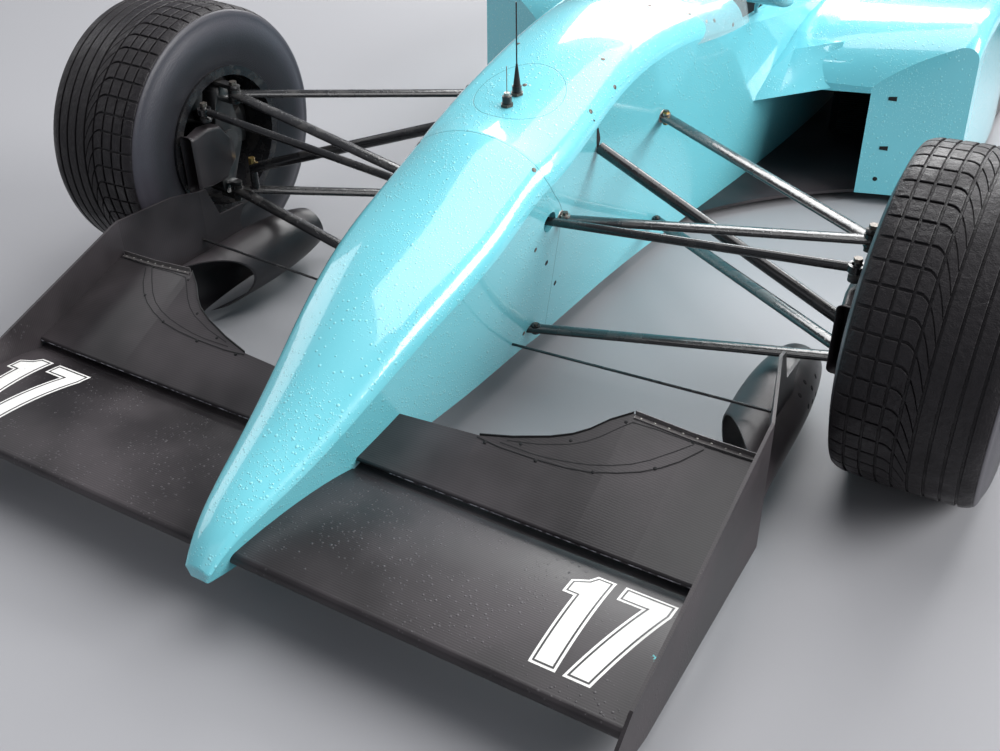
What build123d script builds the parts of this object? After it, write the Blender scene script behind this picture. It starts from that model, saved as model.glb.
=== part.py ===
from build123d import *
import math
import os

# An open wheel racing car of about 1990, in millimetres.
# The front is -Y, the driver's left is +X, and the tyres stand on Z = 0.
# Distances along the car are given behind the front axle, and station() turns them into Y.

# Overall plan
WHEELBASE = 2880.0
FRONT_OVERHANG = 1035.0
REAR_OVERHANG = 500.0
FRONT_TRACK = 1868.0
REAR_TRACK = 1690.0

# Wheels and tyres
FRONT_TYRE_RADIUS = 321.0
FRONT_TYRE_WIDTH = 284.0
REAR_TYRE_RADIUS = 333.0
REAR_TYRE_WIDTH = 396.0
RIM_SEAT_RADIUS = 167.0
RIM_WALL = 7.0
RIM_LIP_HEIGHT = 14.0
WHEEL_WINDOWS = 6
AXLE_RADIUS = 28.0
DISC_RADIUS = 139.0
DISC_THICKNESS = 26.0
BELL_RADIUS = 62.0
CALIPER_INNER = 92.0
CALIPER_OUTER = 152.0
CALIPER_LUG_INNER = 38.0
CALIPER_HALF_ANGLE = 26.0
RIM_INSET = 8.0
TREAD_INSET = 16.0
TREAD_CROWN = 5.0
SPIDER_THICKNESS = 13.0
WINDOW_CENTRE = 108.0
WINDOW_WIDTH = 78.0
WINDOW_HEIGHT = 66.0
SHAFT_RADIUS = 17.0
SHAFT_INNER = 142.0

# Clearances
SEAT_GAP = 0.3
PIN_GAP = 0.3
FORK_GAP = 0.6

# Nose and tub
NOSE_JOINT = -125.0
TUB_END = 1930.0
TUB_WALL = 12.0
NOSE_WALL = 8.0
NOSE_TIP_RADIUS = 9.0
COCKPIT_FRONT = 620.0
COCKPIT_SIDE_START = 770.0
COCKPIT_BACK = 1385.0
COCKPIT_RIM = 548.0
COCKPIT_MOUTH_WIDTH = 320.0
SEAT_BULKHEAD = 1395.0

# Floor and covers
GROUND_CLEARANCE = 25.0
FLOOR_THICKNESS = 8.0
COVER_WALL = 7.0
POD_FRONT = 1045.0
POD_END = 2420.0
POD_HALF_WIDTH = 732.0
INLET_OUTER = 490.0
INLET_TOP = 318.0

# Front wing
WING_SPAN = 1496.0
ENDPLATE_THICKNESS = 6.0
MAINPLANE_LEADING = -988.0
MAINPLANE_TRAILING = -702.0
MAINPLANE_HEIGHT = 128.0
FLAP_LEADING = -694.0
FLAP_HEIGHT = 151.0
ENDPLATE_FOOT = 34.0
KINK = -432.0
TAIL_BEND = -235.0
TAIL_X = 690.0
TUNNEL_WALL = 3.0
TUNNEL_FRONT_OUTER = -430.0
TUNNEL_FRONT_INNER = -205.0
STAY_RADIUS = 3.0

# Front suspension and steering, places of the driver's left side
UPPER_BALL = (762.0, 2.0, 447.0)
LOWER_BALL = (778.0, -23.0, 205.0)
TRACK_ROD_BALL = (765.0, -100.0, 440.0)
RACK_END = (128.0, -98.0, 376.0)
PUSHROD_OUTER = (742.0, 6.0, 259.0)
PUSHROD_INNER = (160.0, 101.0, 463.0)
WISHBONE_CHORD = 34.0
WISHBONE_THICKNESS = 15.0
EYE_RADIUS = 15.0
EYE_HEIGHT = 24.0
KINGPIN_RADIUS = 6.0
ROD_EYE_BORE = 10.0
ROD_EYE_RADIUS = 16.0
ROD_EYE_HEIGHT = 14.0
ROD_EYE_GAP = 5.0
ROD_PIN_RADIUS = 5.0
TRACK_ROD_RADIUS = 9.0
PUSHROD_RADIUS = 13.0
PUSHROD_LUG_RADIUS = 10.0
FORK_CHEEK_RADIUS = 13.0
FORK_THICKNESS = 9.0
UPRIGHT_X = 802.0
UPRIGHT_THICKNESS = 44.0
UPRIGHT_BOSS_RADIUS = 48.0
RACK_RADIUS = 13.0

# Steering column, from the pinion over the rack to the wheel
RACK_HOUSING_HALF = 80.0
COLUMN_RADIUS = 11.0
COLUMN_START = (0.0, -60.0, 408.0)
COLUMN_END = (0.0, 800.0, 520.0)
STEERING_WHEEL_RADIUS = 132.0
STEERING_RIM_RADIUS = 13.0
DASH = 600.0
DASH_THICKNESS = 10.0

# Engine and gearbox
ENGINE_LENGTH = 560.0
ENGINE_HALF_WIDTH = 225.0
ENGINE_BOTTOM = 62.0
ENGINE_TOP = 385.0
GEARBOX_LENGTH = 745.0
STARTER_HEIGHT = 246.0
STARTER_RADIUS = 12.0
STARTER_DEPTH = 45.0

# Airbox and rear uprights
AIRBOX_HEIGHT = 868.0
AIRBOX_HALF_WIDTH = 96.0
AIRBOX_HALF_HEIGHT = 62.0
REAR_UPRIGHT_X = 664.0

# Cockpit pieces
SCREEN_THICKNESS = 3.0
SCREEN_FRONT = 410.0
SCREEN_CENTRE = 800.0
SCREEN_HALF_WIDTH = 232.0
SCREEN_TOP = 725.0
MIRROR_PLACE = (250.0, 830.0, 612.0)
MIRROR_WIDTH = 130.0
MIRROR_HEIGHT = 76.0
MIRROR_POST_X = 218.0
MIRROR_POST_DISTANCE = 850.0
MIRROR_POST_RADIUS = 5.0
MIRROR_POST_HEIGHT = 18.0
SEAT_HALF_WIDTH = 138.0
SEAT_THICKNESS = 10.0

# Floor and diffuser
FLOOR_START = 640.0
FLOOR_END = 2560.0
FLOOR_TAIL_HALF = 480.0
DIFFUSER_END = 3190.0
DIFFUSER_HEIGHT = 165.0
DIFFUSER_FENCE_THICKNESS = 4.0
DIFFUSER_INNER_FENCE = 0.52

# Rear wing
REAR_WING_SPAN = 1000.0
REAR_WING_TOP = 985.0

OVERALL_LENGTH = FRONT_OVERHANG + WHEELBASE + REAR_OVERHANG
FRONT_AXLE_Y = FRONT_OVERHANG - OVERALL_LENGTH / 2
FLOOR_TOP = GROUND_CLEARANCE + FLOOR_THICKNESS
TUB_FLOOR = FLOOR_TOP + SEAT_GAP
REAR_AXLE_Y = FRONT_AXLE_Y + WHEELBASE
ENDPLATE_X = WING_SPAN / 2 - ENDPLATE_THICKNESS
ENDPLATE_MIDDLE = ENDPLATE_X + ENDPLATE_THICKNESS / 2

COLUMN_LOW = (0.0, COLUMN_START[1] + FRONT_AXLE_Y, COLUMN_START[2])
COLUMN_TOP = (0.0, COLUMN_END[1] + FRONT_AXLE_Y, COLUMN_END[2])
COLUMN_SLOPE = (COLUMN_END[2] - COLUMN_START[2]) / (COLUMN_END[1] - COLUMN_START[1])
COLUMN_DASH_HEIGHT = COLUMN_START[2] + (DASH - COLUMN_START[1]) * COLUMN_SLOPE

os.makedirs("parts", exist_ok=True)


def station(distance):
    """Y of a place given by its distance behind the front axle."""
    return FRONT_AXLE_Y + distance


def place(point):
    """A point given by its distance behind the front axle, in the car's own frame."""
    return (point[0], station(point[1]), point[2])


def mirrored(point, side):
    """The same point on the driver's left (1) or right (-1) side."""
    return (side * point[0], point[1], point[2])


def cross_plane(distance):
    """Upright plane across the car: local x to the driver's left, local y up."""
    return Plane(origin=(0, station(distance), 0), x_dir=(1, 0, 0), z_dir=(0, -1, 0))


def side_plane(x):
    """Upright plane along the car: local x to the rear from the front axle, local y up."""
    return Plane(origin=(x, FRONT_AXLE_Y, 0), x_dir=(0, 1, 0), z_dir=(1, 0, 0))


def shell_section(distance, half_width, crease, crown, shoulder, floor_half_width, floor):
    """Flat floor, sloping sides up to the crease, round shoulders and a crowned top."""
    reach = half_width - shoulder
    rise = crown - crease
    crown_radius = (reach ** 2 + rise ** 2 - shoulder ** 2) / (2 * (rise - shoulder))
    scale = crown_radius / (crown_radius - shoulder)
    joint_x = reach * scale
    joint_z = crown - crown_radius + (crease - crown + crown_radius) * scale
    half_turn = math.atan2(joint_z - crease, joint_x - reach) / 2
    middle_x = reach + shoulder * math.cos(half_turn)
    middle_z = crease + shoulder * math.sin(half_turn)
    with BuildSketch(cross_plane(distance)) as section:
        with BuildLine():
            Line((-floor_half_width, floor), (floor_half_width, floor))
            Line((floor_half_width, floor), (half_width, crease))
            ThreePointArc((half_width, crease), (middle_x, middle_z), (joint_x, joint_z))
            ThreePointArc((joint_x, joint_z), (0, crown), (-joint_x, joint_z))
            ThreePointArc((-joint_x, joint_z), (-middle_x, middle_z), (-half_width, crease))
            Line((-half_width, crease), (-floor_half_width, floor))
        make_face()
    return section.sketch


def inset(row, wall):
    """The same section inside a wall of this thickness."""
    distance, half_width, crease, crown, shoulder, floor_half_width, floor = row
    return (distance, half_width - wall, crease, crown - wall, shoulder - wall / 2,
            floor_half_width - wall, floor + wall)


def aerofoil(x, leading, trailing, nose_radius, upper, lower, edge=3.0):
    """Section of a wing between its leading and trailing points, as (distance, height)."""
    chord = Vector(trailing[0] - leading[0], trailing[1] - leading[1])
    along = chord.normalized()
    across = Vector(-along.Y, along.X)
    start = Vector(leading[0], leading[1])
    end = Vector(trailing[0], trailing[1])
    nose = start + along * nose_radius
    top_start = nose + across * nose_radius
    low_start = nose - across * nose_radius
    top_end = end + across * edge / 2
    low_end = end - across * edge / 2
    middle = start + chord * 0.45
    with BuildSketch(side_plane(x)) as section:
        with BuildLine():
            ThreePointArc(low_start, start, top_start)
            ThreePointArc(top_start, middle + across * upper, top_end)
            Line(top_end, low_end)
            ThreePointArc(low_end, middle + across * lower, low_start)
        make_face()
    return section.sketch


def strut_section(start, end, chord, thickness):
    """Flattened tube section at the start of a strut, its long axis along the air flow."""
    along = (Vector(*end) - Vector(*start)).normalized()
    flow = Vector(0, 1, 0)
    chord_dir = (flow - along * flow.dot(along)).normalized()
    with BuildSketch(Plane(origin=start, x_dir=chord_dir, z_dir=along)) as section:
        Ellipse(chord / 2, thickness / 2)
    return section.sketch


def add_strut(start, end, chord, thickness):
    """A straight strut of flattened tube from one point to another."""
    length = (Vector(*end) - Vector(*start)).length
    extrude(strut_section(start, end, chord, thickness), amount=length)


def add_bar(start, end, radius, mode=Mode.ADD):
    """A straight round bar from one point to another."""
    along = Vector(*end) - Vector(*start)
    with BuildSketch(Plane(origin=start, z_dir=along)) as section:
        Circle(radius)
    extrude(section.sketch, amount=along.length, mode=mode)


def oval(height, distance, half_width, half_length):
    """A level ellipse about a place on the car's centre line."""
    with BuildSketch(Plane.XY.offset(height)) as section:
        with Locations((0, station(distance))):
            Ellipse(half_width, half_length)
    return section.sketch


def rack_place(x):
    """A point on the rack's line."""
    return place((x, RACK_END[1], RACK_END[2]))


def along_line(point, direction, amount):
    """A point moved along a unit direction."""
    return tuple(Vector(*point) + direction * amount)


def kingpin_direction(side):
    """Unit vector up the kingpin, from the lower ball joint to the upper."""
    lower = Vector(*place(mirrored(LOWER_BALL, side)))
    upper = Vector(*place(mirrored(UPPER_BALL, side)))
    return (upper - lower).normalized()


def add_caliper(centre, side, disc, upright_face):
    """A brake caliper over the rear of the disc, with its lugs on the upright's outer face."""
    turn = math.radians(CALIPER_HALF_ANGLE)
    caliper_plane = Plane(origin=centre, x_dir=(0, 1, 0), z_dir=(1, 0, 0))
    # inner and outer radius, and where the piece starts and ends along the axle
    pieces = (
        (CALIPER_INNER, CALIPER_OUTER, disc - 18, disc + DISC_THICKNESS + 18, Mode.ADD),
        (CALIPER_LUG_INNER, CALIPER_INNER + 14, side * upright_face - 1, disc - 6, Mode.ADD),
        (0, DISC_RADIUS + 5, disc - 5, disc + DISC_THICKNESS + 5, Mode.SUBTRACT),
    )
    for inner, outer, start, end, mode in pieces:
        near = Plane(origin=(centre[0] + side * start, centre[1], centre[2]), x_dir=(0, 1, 0), z_dir=(1, 0, 0))
        with BuildSketch(near) as sector:
            if mode is Mode.SUBTRACT:
                Circle(outer)
            else:
                with BuildLine():
                    low = (inner * math.cos(turn), inner * math.sin(turn))
                    high = (outer * math.cos(turn), outer * math.sin(turn))
                    ThreePointArc((low[0], -low[1]), (inner, 0), low)
                    Line(low, high)
                    ThreePointArc(high, (outer, 0), (high[0], -high[1]))
                    Line((high[0], -high[1]), (low[0], -low[1]))
                make_face()
        extrude(sector.sketch, amount=side * (end - start), mode=mode)


def save(piece, name):
    """Label a finished piece and write it."""
    piece.label = name
    export_step(piece, "parts/" + name + ".step")


# Nose cone and tub, sections from front to back
# distance, half width, crease, crown, shoulder radius, half width of the floor, floor
NOSE_SECTIONS = (
    (-FRONT_OVERHANG, 26, 121, 138, 12, 17, 107),
    (-960, 46, 172, 200, 22, 29, 100),
    (-800, 81, 224, 272, 34, 50, 97),
    (-600, 119, 308, 372, 46, 77, 99),
    (-380, 153, 386, 460, 54, 97, 90),
    (-250, 157, 424, 508, 57, 102, 84),
    (NOSE_JOINT, 158, 462, 552, 60, 106, 78),
)
TUB_SECTIONS = (
    (NOSE_JOINT, 158, 462, 552, 60, 106, 78),
    (100, 161, 522, 594, 58, 106, 58),
    (400, 166, 566, 646, 60, 112, 40),
    (700, 205, 545, 640, 66, 142, TUB_FLOOR),
    (1050, 250, 500, 625, 76, 185, TUB_FLOOR),
    (1400, 268, 470, 600, 84, 215, TUB_FLOOR),
    (TUB_END, 268, 400, 540, 84, 215, TUB_FLOOR),
)

# The nose is a thin cone, closed at its tip and open to the tub behind it.
with BuildPart() as nose_outside:
    loft([shell_section(*row) for row in NOSE_SECTIONS])
    fillet(nose_outside.faces().sort_by(Axis.Y)[0].edges(), radius=NOSE_TIP_RADIUS)
with BuildPart() as nose_space:
    loft([shell_section(*inset(row, NOSE_WALL)) for row in NOSE_SECTIONS])
    split(bisect_by=cross_plane(NOSE_WALL - FRONT_OVERHANG), keep=Keep.BOTTOM)
with BuildPart() as nose_cone:
    add(nose_outside.part)
    add(nose_space.part, mode=Mode.SUBTRACT)
save(nose_cone.part, "nose_cone")

# The tub is hollow as far as the seat bulkhead, with the fuel cell closed in behind it.
with BuildPart() as tub_outside:
    loft([shell_section(*row) for row in TUB_SECTIONS])
with BuildPart() as monocoque:
    add(tub_outside.part)
    with BuildPart(mode=Mode.PRIVATE) as tub_space:
        loft([shell_section(*inset(row, TUB_WALL)) for row in TUB_SECTIONS])
        split(bisect_by=cross_plane(SEAT_BULKHEAD), keep=Keep.TOP)
        split(bisect_by=cross_plane(NOSE_JOINT + TUB_WALL), keep=Keep.BOTTOM)
    add(tub_space.part, mode=Mode.SUBTRACT)
    # The sides are cut level beside the driver, and the cowl is cut round the driver's hands.
    with BuildSketch(Plane.XY.offset(COCKPIT_RIM)):
        with Locations((0, station((COCKPIT_SIDE_START + COCKPIT_BACK) / 2))):
            Rectangle(2 * POD_HALF_WIDTH, COCKPIT_BACK - COCKPIT_SIDE_START)
        with Locations((0, station(COCKPIT_SIDE_START))):
            Ellipse(COCKPIT_MOUTH_WIDTH / 2, COCKPIT_SIDE_START - COCKPIT_FRONT)
    extrude(amount=COCKPIT_RIM, mode=Mode.SUBTRACT)
    # The rack runs in a housing inside the tub and passes through both side walls.
    add_bar(rack_place(-300), rack_place(300), RACK_RADIUS + 9, mode=Mode.SUBTRACT)
    add_bar(rack_place(-RACK_HOUSING_HALF), rack_place(RACK_HOUSING_HALF), RACK_RADIUS + 9)
    add_bar(rack_place(-RACK_HOUSING_HALF), rack_place(RACK_HOUSING_HALF), RACK_RADIUS + PIN_GAP,
            mode=Mode.SUBTRACT)
    # The dash bulkhead closes the cowl above the driver's legs and carries the steering column.
    with BuildPart(mode=Mode.PRIVATE) as dash:
        with Locations((0, station(DASH), COLUMN_DASH_HEIGHT + 60)):
            Box(2 * POD_HALF_WIDTH, DASH_THICKNESS, 220)
        add(tub_outside.part, mode=Mode.INTERSECT)
    add(dash.part)
    add_bar(COLUMN_LOW, COLUMN_TOP, COLUMN_RADIUS + PIN_GAP, mode=Mode.SUBTRACT)
save(monocoque.part, "monocoque")

# Front wing: one straight mainplane through the nose, and a flap with a raised trailing edge
with BuildPart() as front_mainplane:
    loft([aerofoil(x, (MAINPLANE_LEADING, MAINPLANE_HEIGHT), (MAINPLANE_TRAILING, 134), 13, 24, -20)
          for x in (-ENDPLATE_X, ENDPLATE_X)], ruled=True)
    add(nose_outside.part, mode=Mode.SUBTRACT)
save(front_mainplane.part, "front_mainplane")

# x, trailing edge distance, trailing edge height
FLAP_SECTIONS = (
    (60, -582, 186),
    (271, -583, 205),
    (330, -568, 212),
    (392, -546, 221),
    (428, -529, 229),
    (452, -511, 237),
    (477, -485, 249),
    (510, -460, 260),
    (618, -452, 245),
    (ENDPLATE_X, -434, 229),
)
with BuildPart() as front_flaps:
    loft([aerofoil(x, (FLAP_LEADING, FLAP_HEIGHT), (distance, height), 5, 3, -6)
          for x, distance, height in FLAP_SECTIONS], ruled=True)
    mirror(about=Plane.YZ)
    add(nose_outside.part, mode=Mode.SUBTRACT)
save(front_flaps.part, "front_flaps")

# Endplates: a plate whose forked tail turns inboard ahead of the tyre, on a round tunnel at the foot
# distance, centre x, centre height, radius
TUNNEL_SECTIONS = (
    (TUNNEL_FRONT_OUTER, 668, 100, 70),
    (TUNNEL_FRONT_INNER, 656, 98, 70),
    (-40, 650, 96, 68),
    (75, 648, 90, 50),
)
TUNNEL_MOUTH = Plane(origin=place((ENDPLATE_MIDDLE, TUNNEL_FRONT_OUTER, 0)), x_dir=(0, 0, 1),
                     z_dir=(TUNNEL_FRONT_INNER - TUNNEL_FRONT_OUTER, 155, 0))


def tunnel(wall):
    """The tunnel's body inside a wall of this thickness, with its slanted mouth."""
    rings = []
    for distance, x, height, radius in TUNNEL_SECTIONS:
        with BuildSketch(cross_plane(distance)) as ring:
            with Locations((x, height)):
                Circle(radius - wall)
        rings.append(ring.sketch)
    with BuildPart() as body:
        loft(rings)
        split(bisect_by=TUNNEL_MOUTH, keep=Keep.TOP)
        split(bisect_by=Plane.XY.offset(ENDPLATE_FOOT), keep=Keep.TOP)
    return body.part


with BuildPart() as front_endplates:
    # The plate's way seen from above, thickened, is cut to its outline seen from the side.
    with BuildSketch():
        with BuildLine():
            half = ENDPLATE_THICKNESS / 2
            Polyline(place((ENDPLATE_MIDDLE + half, -1012, 0)), place((ENDPLATE_MIDDLE + half, KINK, 0)),
                     place((TAIL_X + half, TAIL_BEND, 0)), place((TAIL_X + half, 0, 0)),
                     place((TAIL_X - half, 0, 0)), place((TAIL_X - half, TAIL_BEND, 0)),
                     place((ENDPLATE_MIDDLE - half, KINK, 0)), place((ENDPLATE_MIDDLE - half, -1012, 0)),
                     close=True)
        make_face()
    extrude(amount=WING_SPAN)
    with BuildSketch(side_plane(TAIL_X - ENDPLATE_THICKNESS)) as outline:
        with BuildLine():
            Polyline((-1012, 60), (-1012, 118), (-960, 158), (-800, 197), (-450, 305), (KINK, 309),
                     (-300, 318), (-213, 305), (-182, 228), (-100, 221), (-122, 185), (-106, 120),
                     (-106, ENDPLATE_FOOT), (-900, ENDPLATE_FOOT), close=True)
        make_face()
    extrude(outline.sketch, amount=WING_SPAN, mode=Mode.INTERSECT)
    add(tunnel(0))
    add(tunnel(TUNNEL_WALL), mode=Mode.SUBTRACT)
    mirror(about=Plane.YZ)
save(front_endplates.part, "front_endplates")

# Front suspension: flattened tubes from the ball joints to the tub
# inner end of each leg, on the driver's left
UPPER_LEGS = ((140, -54, 362), (150, 454, 406))
LOWER_LEGS = ((95, -117, 118), (110, 516, 104))
with BuildPart() as front_wishbones:
    for side in (1, -1):
        axis = kingpin_direction(side)
        for outer, legs in ((UPPER_BALL, UPPER_LEGS), (LOWER_BALL, LOWER_LEGS)):
            ball = place(mirrored(outer, side))
            for leg in legs:
                add_strut(place(mirrored(leg, side)), ball, WISHBONE_CHORD, WISHBONE_THICKNESS)
            add_bar(along_line(ball, axis, -EYE_HEIGHT / 2), along_line(ball, axis, EYE_HEIGHT / 2),
                    EYE_RADIUS)
        # Lug on the lower wishbone for the pushrod's foot
        foot = place(mirrored(PUSHROD_OUTER, side))
        add_bar((foot[0], foot[1], LOWER_BALL[2] - WISHBONE_THICKNESS / 2), foot, PUSHROD_LUG_RADIUS)
    add(tub_outside.part, mode=Mode.SUBTRACT)
    add(nose_outside.part, mode=Mode.SUBTRACT)
    for side in (1, -1):
        axis = kingpin_direction(side)
        for outer in (UPPER_BALL, LOWER_BALL):
            ball = place(mirrored(outer, side))
            # The fork's cheeks turn above and below the eye, so the legs are cut level with it.
            for sign in (1, -1):
                add_bar(along_line(ball, axis, sign * EYE_HEIGHT / 2),
                        along_line(ball, axis, sign * EYE_HEIGHT * 2),
                        FORK_CHEEK_RADIUS + 4, mode=Mode.SUBTRACT)
            add_bar(along_line(ball, axis, -EYE_HEIGHT), along_line(ball, axis, EYE_HEIGHT),
                    KINGPIN_RADIUS + PIN_GAP, mode=Mode.SUBTRACT)
save(front_wishbones.part, "front_wishbones")

with BuildPart() as front_pushrods:
    for side in (1, -1):
        add_bar(place(mirrored(PUSHROD_OUTER, side)), place(mirrored(PUSHROD_INNER, side)), PUSHROD_RADIUS)
    add(tub_outside.part, mode=Mode.SUBTRACT)
    add(front_wishbones.part, mode=Mode.SUBTRACT)
save(front_pushrods.part, "front_pushrods")

# Wheels: tyre, rim and hub with its brake disc, turned about the axle
# corner, side, axle distance, half track, tyre radius, tyre width, spider offset, disc offset
WHEELS = (
    ("front_left", 1, 0, FRONT_TRACK / 2, FRONT_TYRE_RADIUS, FRONT_TYRE_WIDTH, 52, -36),
    ("front_right", -1, 0, FRONT_TRACK / 2, FRONT_TYRE_RADIUS, FRONT_TYRE_WIDTH, 52, -36),
    ("rear_left", 1, WHEELBASE, REAR_TRACK / 2, REAR_TYRE_RADIUS, REAR_TYRE_WIDTH, 84, -92),
    ("rear_right", -1, WHEELBASE, REAR_TRACK / 2, REAR_TYRE_RADIUS, REAR_TYRE_WIDTH, 84, -92),
)
for corner, side, distance, half_track, radius, width, spider, disc in WHEELS:
    centre = (side * half_track, station(distance), radius)
    wheel_plane = Plane(origin=centre, x_dir=(side, 0, 0), z_dir=(0, -side, 0))
    axle = Axis(centre, (1, 0, 0))
    half_rim = width / 2 - RIM_INSET
    half_tread = width / 2 - TREAD_INSET
    with BuildPart() as tyre:
        with BuildSketch(wheel_plane):
            with BuildLine():
                seat = RIM_SEAT_RADIUS + SEAT_GAP
                side_radius = (seat + radius) / 2
                bead = half_rim - RIM_WALL - SEAT_GAP
                over_lip = RIM_SEAT_RADIUS + RIM_LIP_HEIGHT + SEAT_GAP
                Line((-bead, seat), (bead, seat))
                Line((bead, seat), (bead, over_lip))
                ThreePointArc((bead, over_lip), (width / 2, side_radius), (half_tread, radius - TREAD_CROWN))
                ThreePointArc((half_tread, radius - TREAD_CROWN), (0, radius),
                              (-half_tread, radius - TREAD_CROWN))
                ThreePointArc((-half_tread, radius - TREAD_CROWN), (-width / 2, side_radius),
                              (-bead, over_lip))
                Line((-bead, over_lip), (-bead, seat))
            make_face()
        revolve(axis=axle)
    save(tyre.part, "tyre_" + corner)

    with BuildPart() as rim:
        with BuildSketch(wheel_plane):
            with Locations((0, RIM_SEAT_RADIUS - RIM_WALL / 2)):
                Rectangle(2 * half_rim, RIM_WALL)
            lip_centre = RIM_SEAT_RADIUS + (RIM_LIP_HEIGHT - RIM_WALL) / 2
            with Locations((half_rim - RIM_WALL / 2, lip_centre), (RIM_WALL / 2 - half_rim, lip_centre)):
                Rectangle(RIM_WALL, RIM_LIP_HEIGHT + RIM_WALL)
            with Locations((spider + SPIDER_THICKNESS / 2, (RIM_SEAT_RADIUS + AXLE_RADIUS) / 2)):
                Rectangle(SPIDER_THICKNESS, RIM_SEAT_RADIUS - AXLE_RADIUS - RIM_WALL)
        revolve(axis=axle)
        window_plane = Plane(origin=(centre[0] + side * spider, centre[1], centre[2]),
                             x_dir=(0, 1, 0), z_dir=(1, 0, 0))
        with BuildSketch(window_plane) as windows:
            with PolarLocations(WINDOW_CENTRE, WHEEL_WINDOWS):
                Trapezoid(WINDOW_WIDTH, WINDOW_HEIGHT, 76, rotation=90)
            fillet(windows.vertices(), radius=12)
        extrude(amount=SPIDER_THICKNESS * side, mode=Mode.SUBTRACT)
    save(rim.part, "rim_" + corner)

    with BuildPart() as hub:
        # from and to along the axle, inner and outer radius
        inner_end = -width / 2 + 4
        outer_end = spider + 46
        turned = [
            (inner_end, outer_end, 0, AXLE_RADIUS),
            (disc, disc + DISC_THICKNESS, BELL_RADIUS, DISC_RADIUS),
            (disc + 6, spider, BELL_RADIUS, BELL_RADIUS + 8),
            (spider - 12, spider, 0, BELL_RADIUS + 8),
            (spider + SPIDER_THICKNESS, outer_end - 6, 0, AXLE_RADIUS + 9),
        ]
        if distance > 0:
            turned.append((SHAFT_INNER - half_track, inner_end, 0, SHAFT_RADIUS))
        with BuildSketch(wheel_plane):
            for start, end, inner, outer in turned:
                with Locations(((start + end) / 2, (inner + outer) / 2)):
                    Rectangle(end - start, outer - inner)
        revolve(axis=axle)
    save(hub.part, "hub_" + corner)

# Uprights: a waisted plate round the axle, with the caliper behind it
# The front ones have a fork at each ball joint, the kingpins and the steering arm.
for corner, side, distance, half_track, radius, width, spider, disc in WHEELS[:2]:
    centre = (side * half_track, station(distance), radius)
    axis = kingpin_direction(side)
    upright_plane = Plane(origin=(side * UPRIGHT_X, FRONT_AXLE_Y, 0), x_dir=(0, 1, 0), z_dir=(1, 0, 0))
    with BuildPart() as upright:
        with BuildSketch(upright_plane):
            with Locations((0, radius)):
                Circle(UPRIGHT_BOSS_RADIUS)
            with Locations((UPPER_BALL[1], UPPER_BALL[2] - 6)):
                Circle(20)
            with Locations((LOWER_BALL[1], LOWER_BALL[2] + 6)):
                Circle(20)
            make_hull()
        extrude(amount=UPRIGHT_THICKNESS * side)
        for outer in (UPPER_BALL, LOWER_BALL):
            ball = place(mirrored(outer, side))
            reach = UPRIGHT_X - outer[0] + 14
            for start in (EYE_HEIGHT / 2 + FORK_GAP, -EYE_HEIGHT / 2 - FORK_GAP - FORK_THICKNESS):
                cheek_plane = Plane(origin=along_line(ball, axis, start), x_dir=(0, 1, 0), z_dir=axis)
                with BuildSketch(cheek_plane):
                    Circle(FORK_CHEEK_RADIUS)
                    with Locations((0, -side * reach / 2)):
                        Rectangle(2 * FORK_CHEEK_RADIUS, reach)
                extrude(amount=FORK_THICKNESS)
            pin_half = EYE_HEIGHT / 2 + FORK_GAP + FORK_THICKNESS
            add_bar(along_line(ball, axis, -pin_half), along_line(ball, axis, pin_half), KINGPIN_RADIUS)
        # Steering arm, with the pin that the track rod's eye turns on
        rod_ball = place(mirrored(TRACK_ROD_BALL, side))
        arm_end = (rod_ball[0], rod_ball[1], rod_ball[2] - ROD_EYE_HEIGHT / 2 - ROD_EYE_GAP - 5)
        add_bar(place((side * (UPRIGHT_X + 14), -22, 396)), arm_end, 9)
        add_bar((arm_end[0], arm_end[1], arm_end[2] - 5), (arm_end[0], arm_end[1], arm_end[2] + 5), 13)
        add_bar(arm_end, (rod_ball[0], rod_ball[1], rod_ball[2] + ROD_EYE_HEIGHT / 2 + 6), ROD_PIN_RADIUS)
        add_caliper(centre, side, disc, side * (UPRIGHT_X + UPRIGHT_THICKNESS) - centre[0])
        add_bar((0, centre[1], centre[2]), (2 * centre[0], centre[1], centre[2]), AXLE_RADIUS + PIN_GAP,
                mode=Mode.SUBTRACT)
    save(upright.part, "upright_" + corner)

# Steering rack with both track rods, whose outer eyes stand loose round the arms' pins
with BuildPart() as steering_rack:
    add_bar(rack_place(-RACK_END[0]), rack_place(RACK_END[0]), RACK_RADIUS)
    for side in (1, -1):
        inner = rack_place(side * RACK_END[0])
        outer = place(mirrored(TRACK_ROD_BALL, side))
        add_bar(inner, outer, TRACK_ROD_RADIUS)
    for side in (1, -1):
        outer = place(mirrored(TRACK_ROD_BALL, side))
        low = (outer[0], outer[1], outer[2] - ROD_EYE_HEIGHT / 2)
        high = (outer[0], outer[1], outer[2] + ROD_EYE_HEIGHT / 2)
        add_bar(low, high, ROD_EYE_RADIUS)
        add_bar((low[0], low[1], low[2] - 20), (high[0], high[1], high[2] + 20), ROD_EYE_BORE,
                mode=Mode.SUBTRACT)
save(steering_rack.part, "steering_rack")

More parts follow.
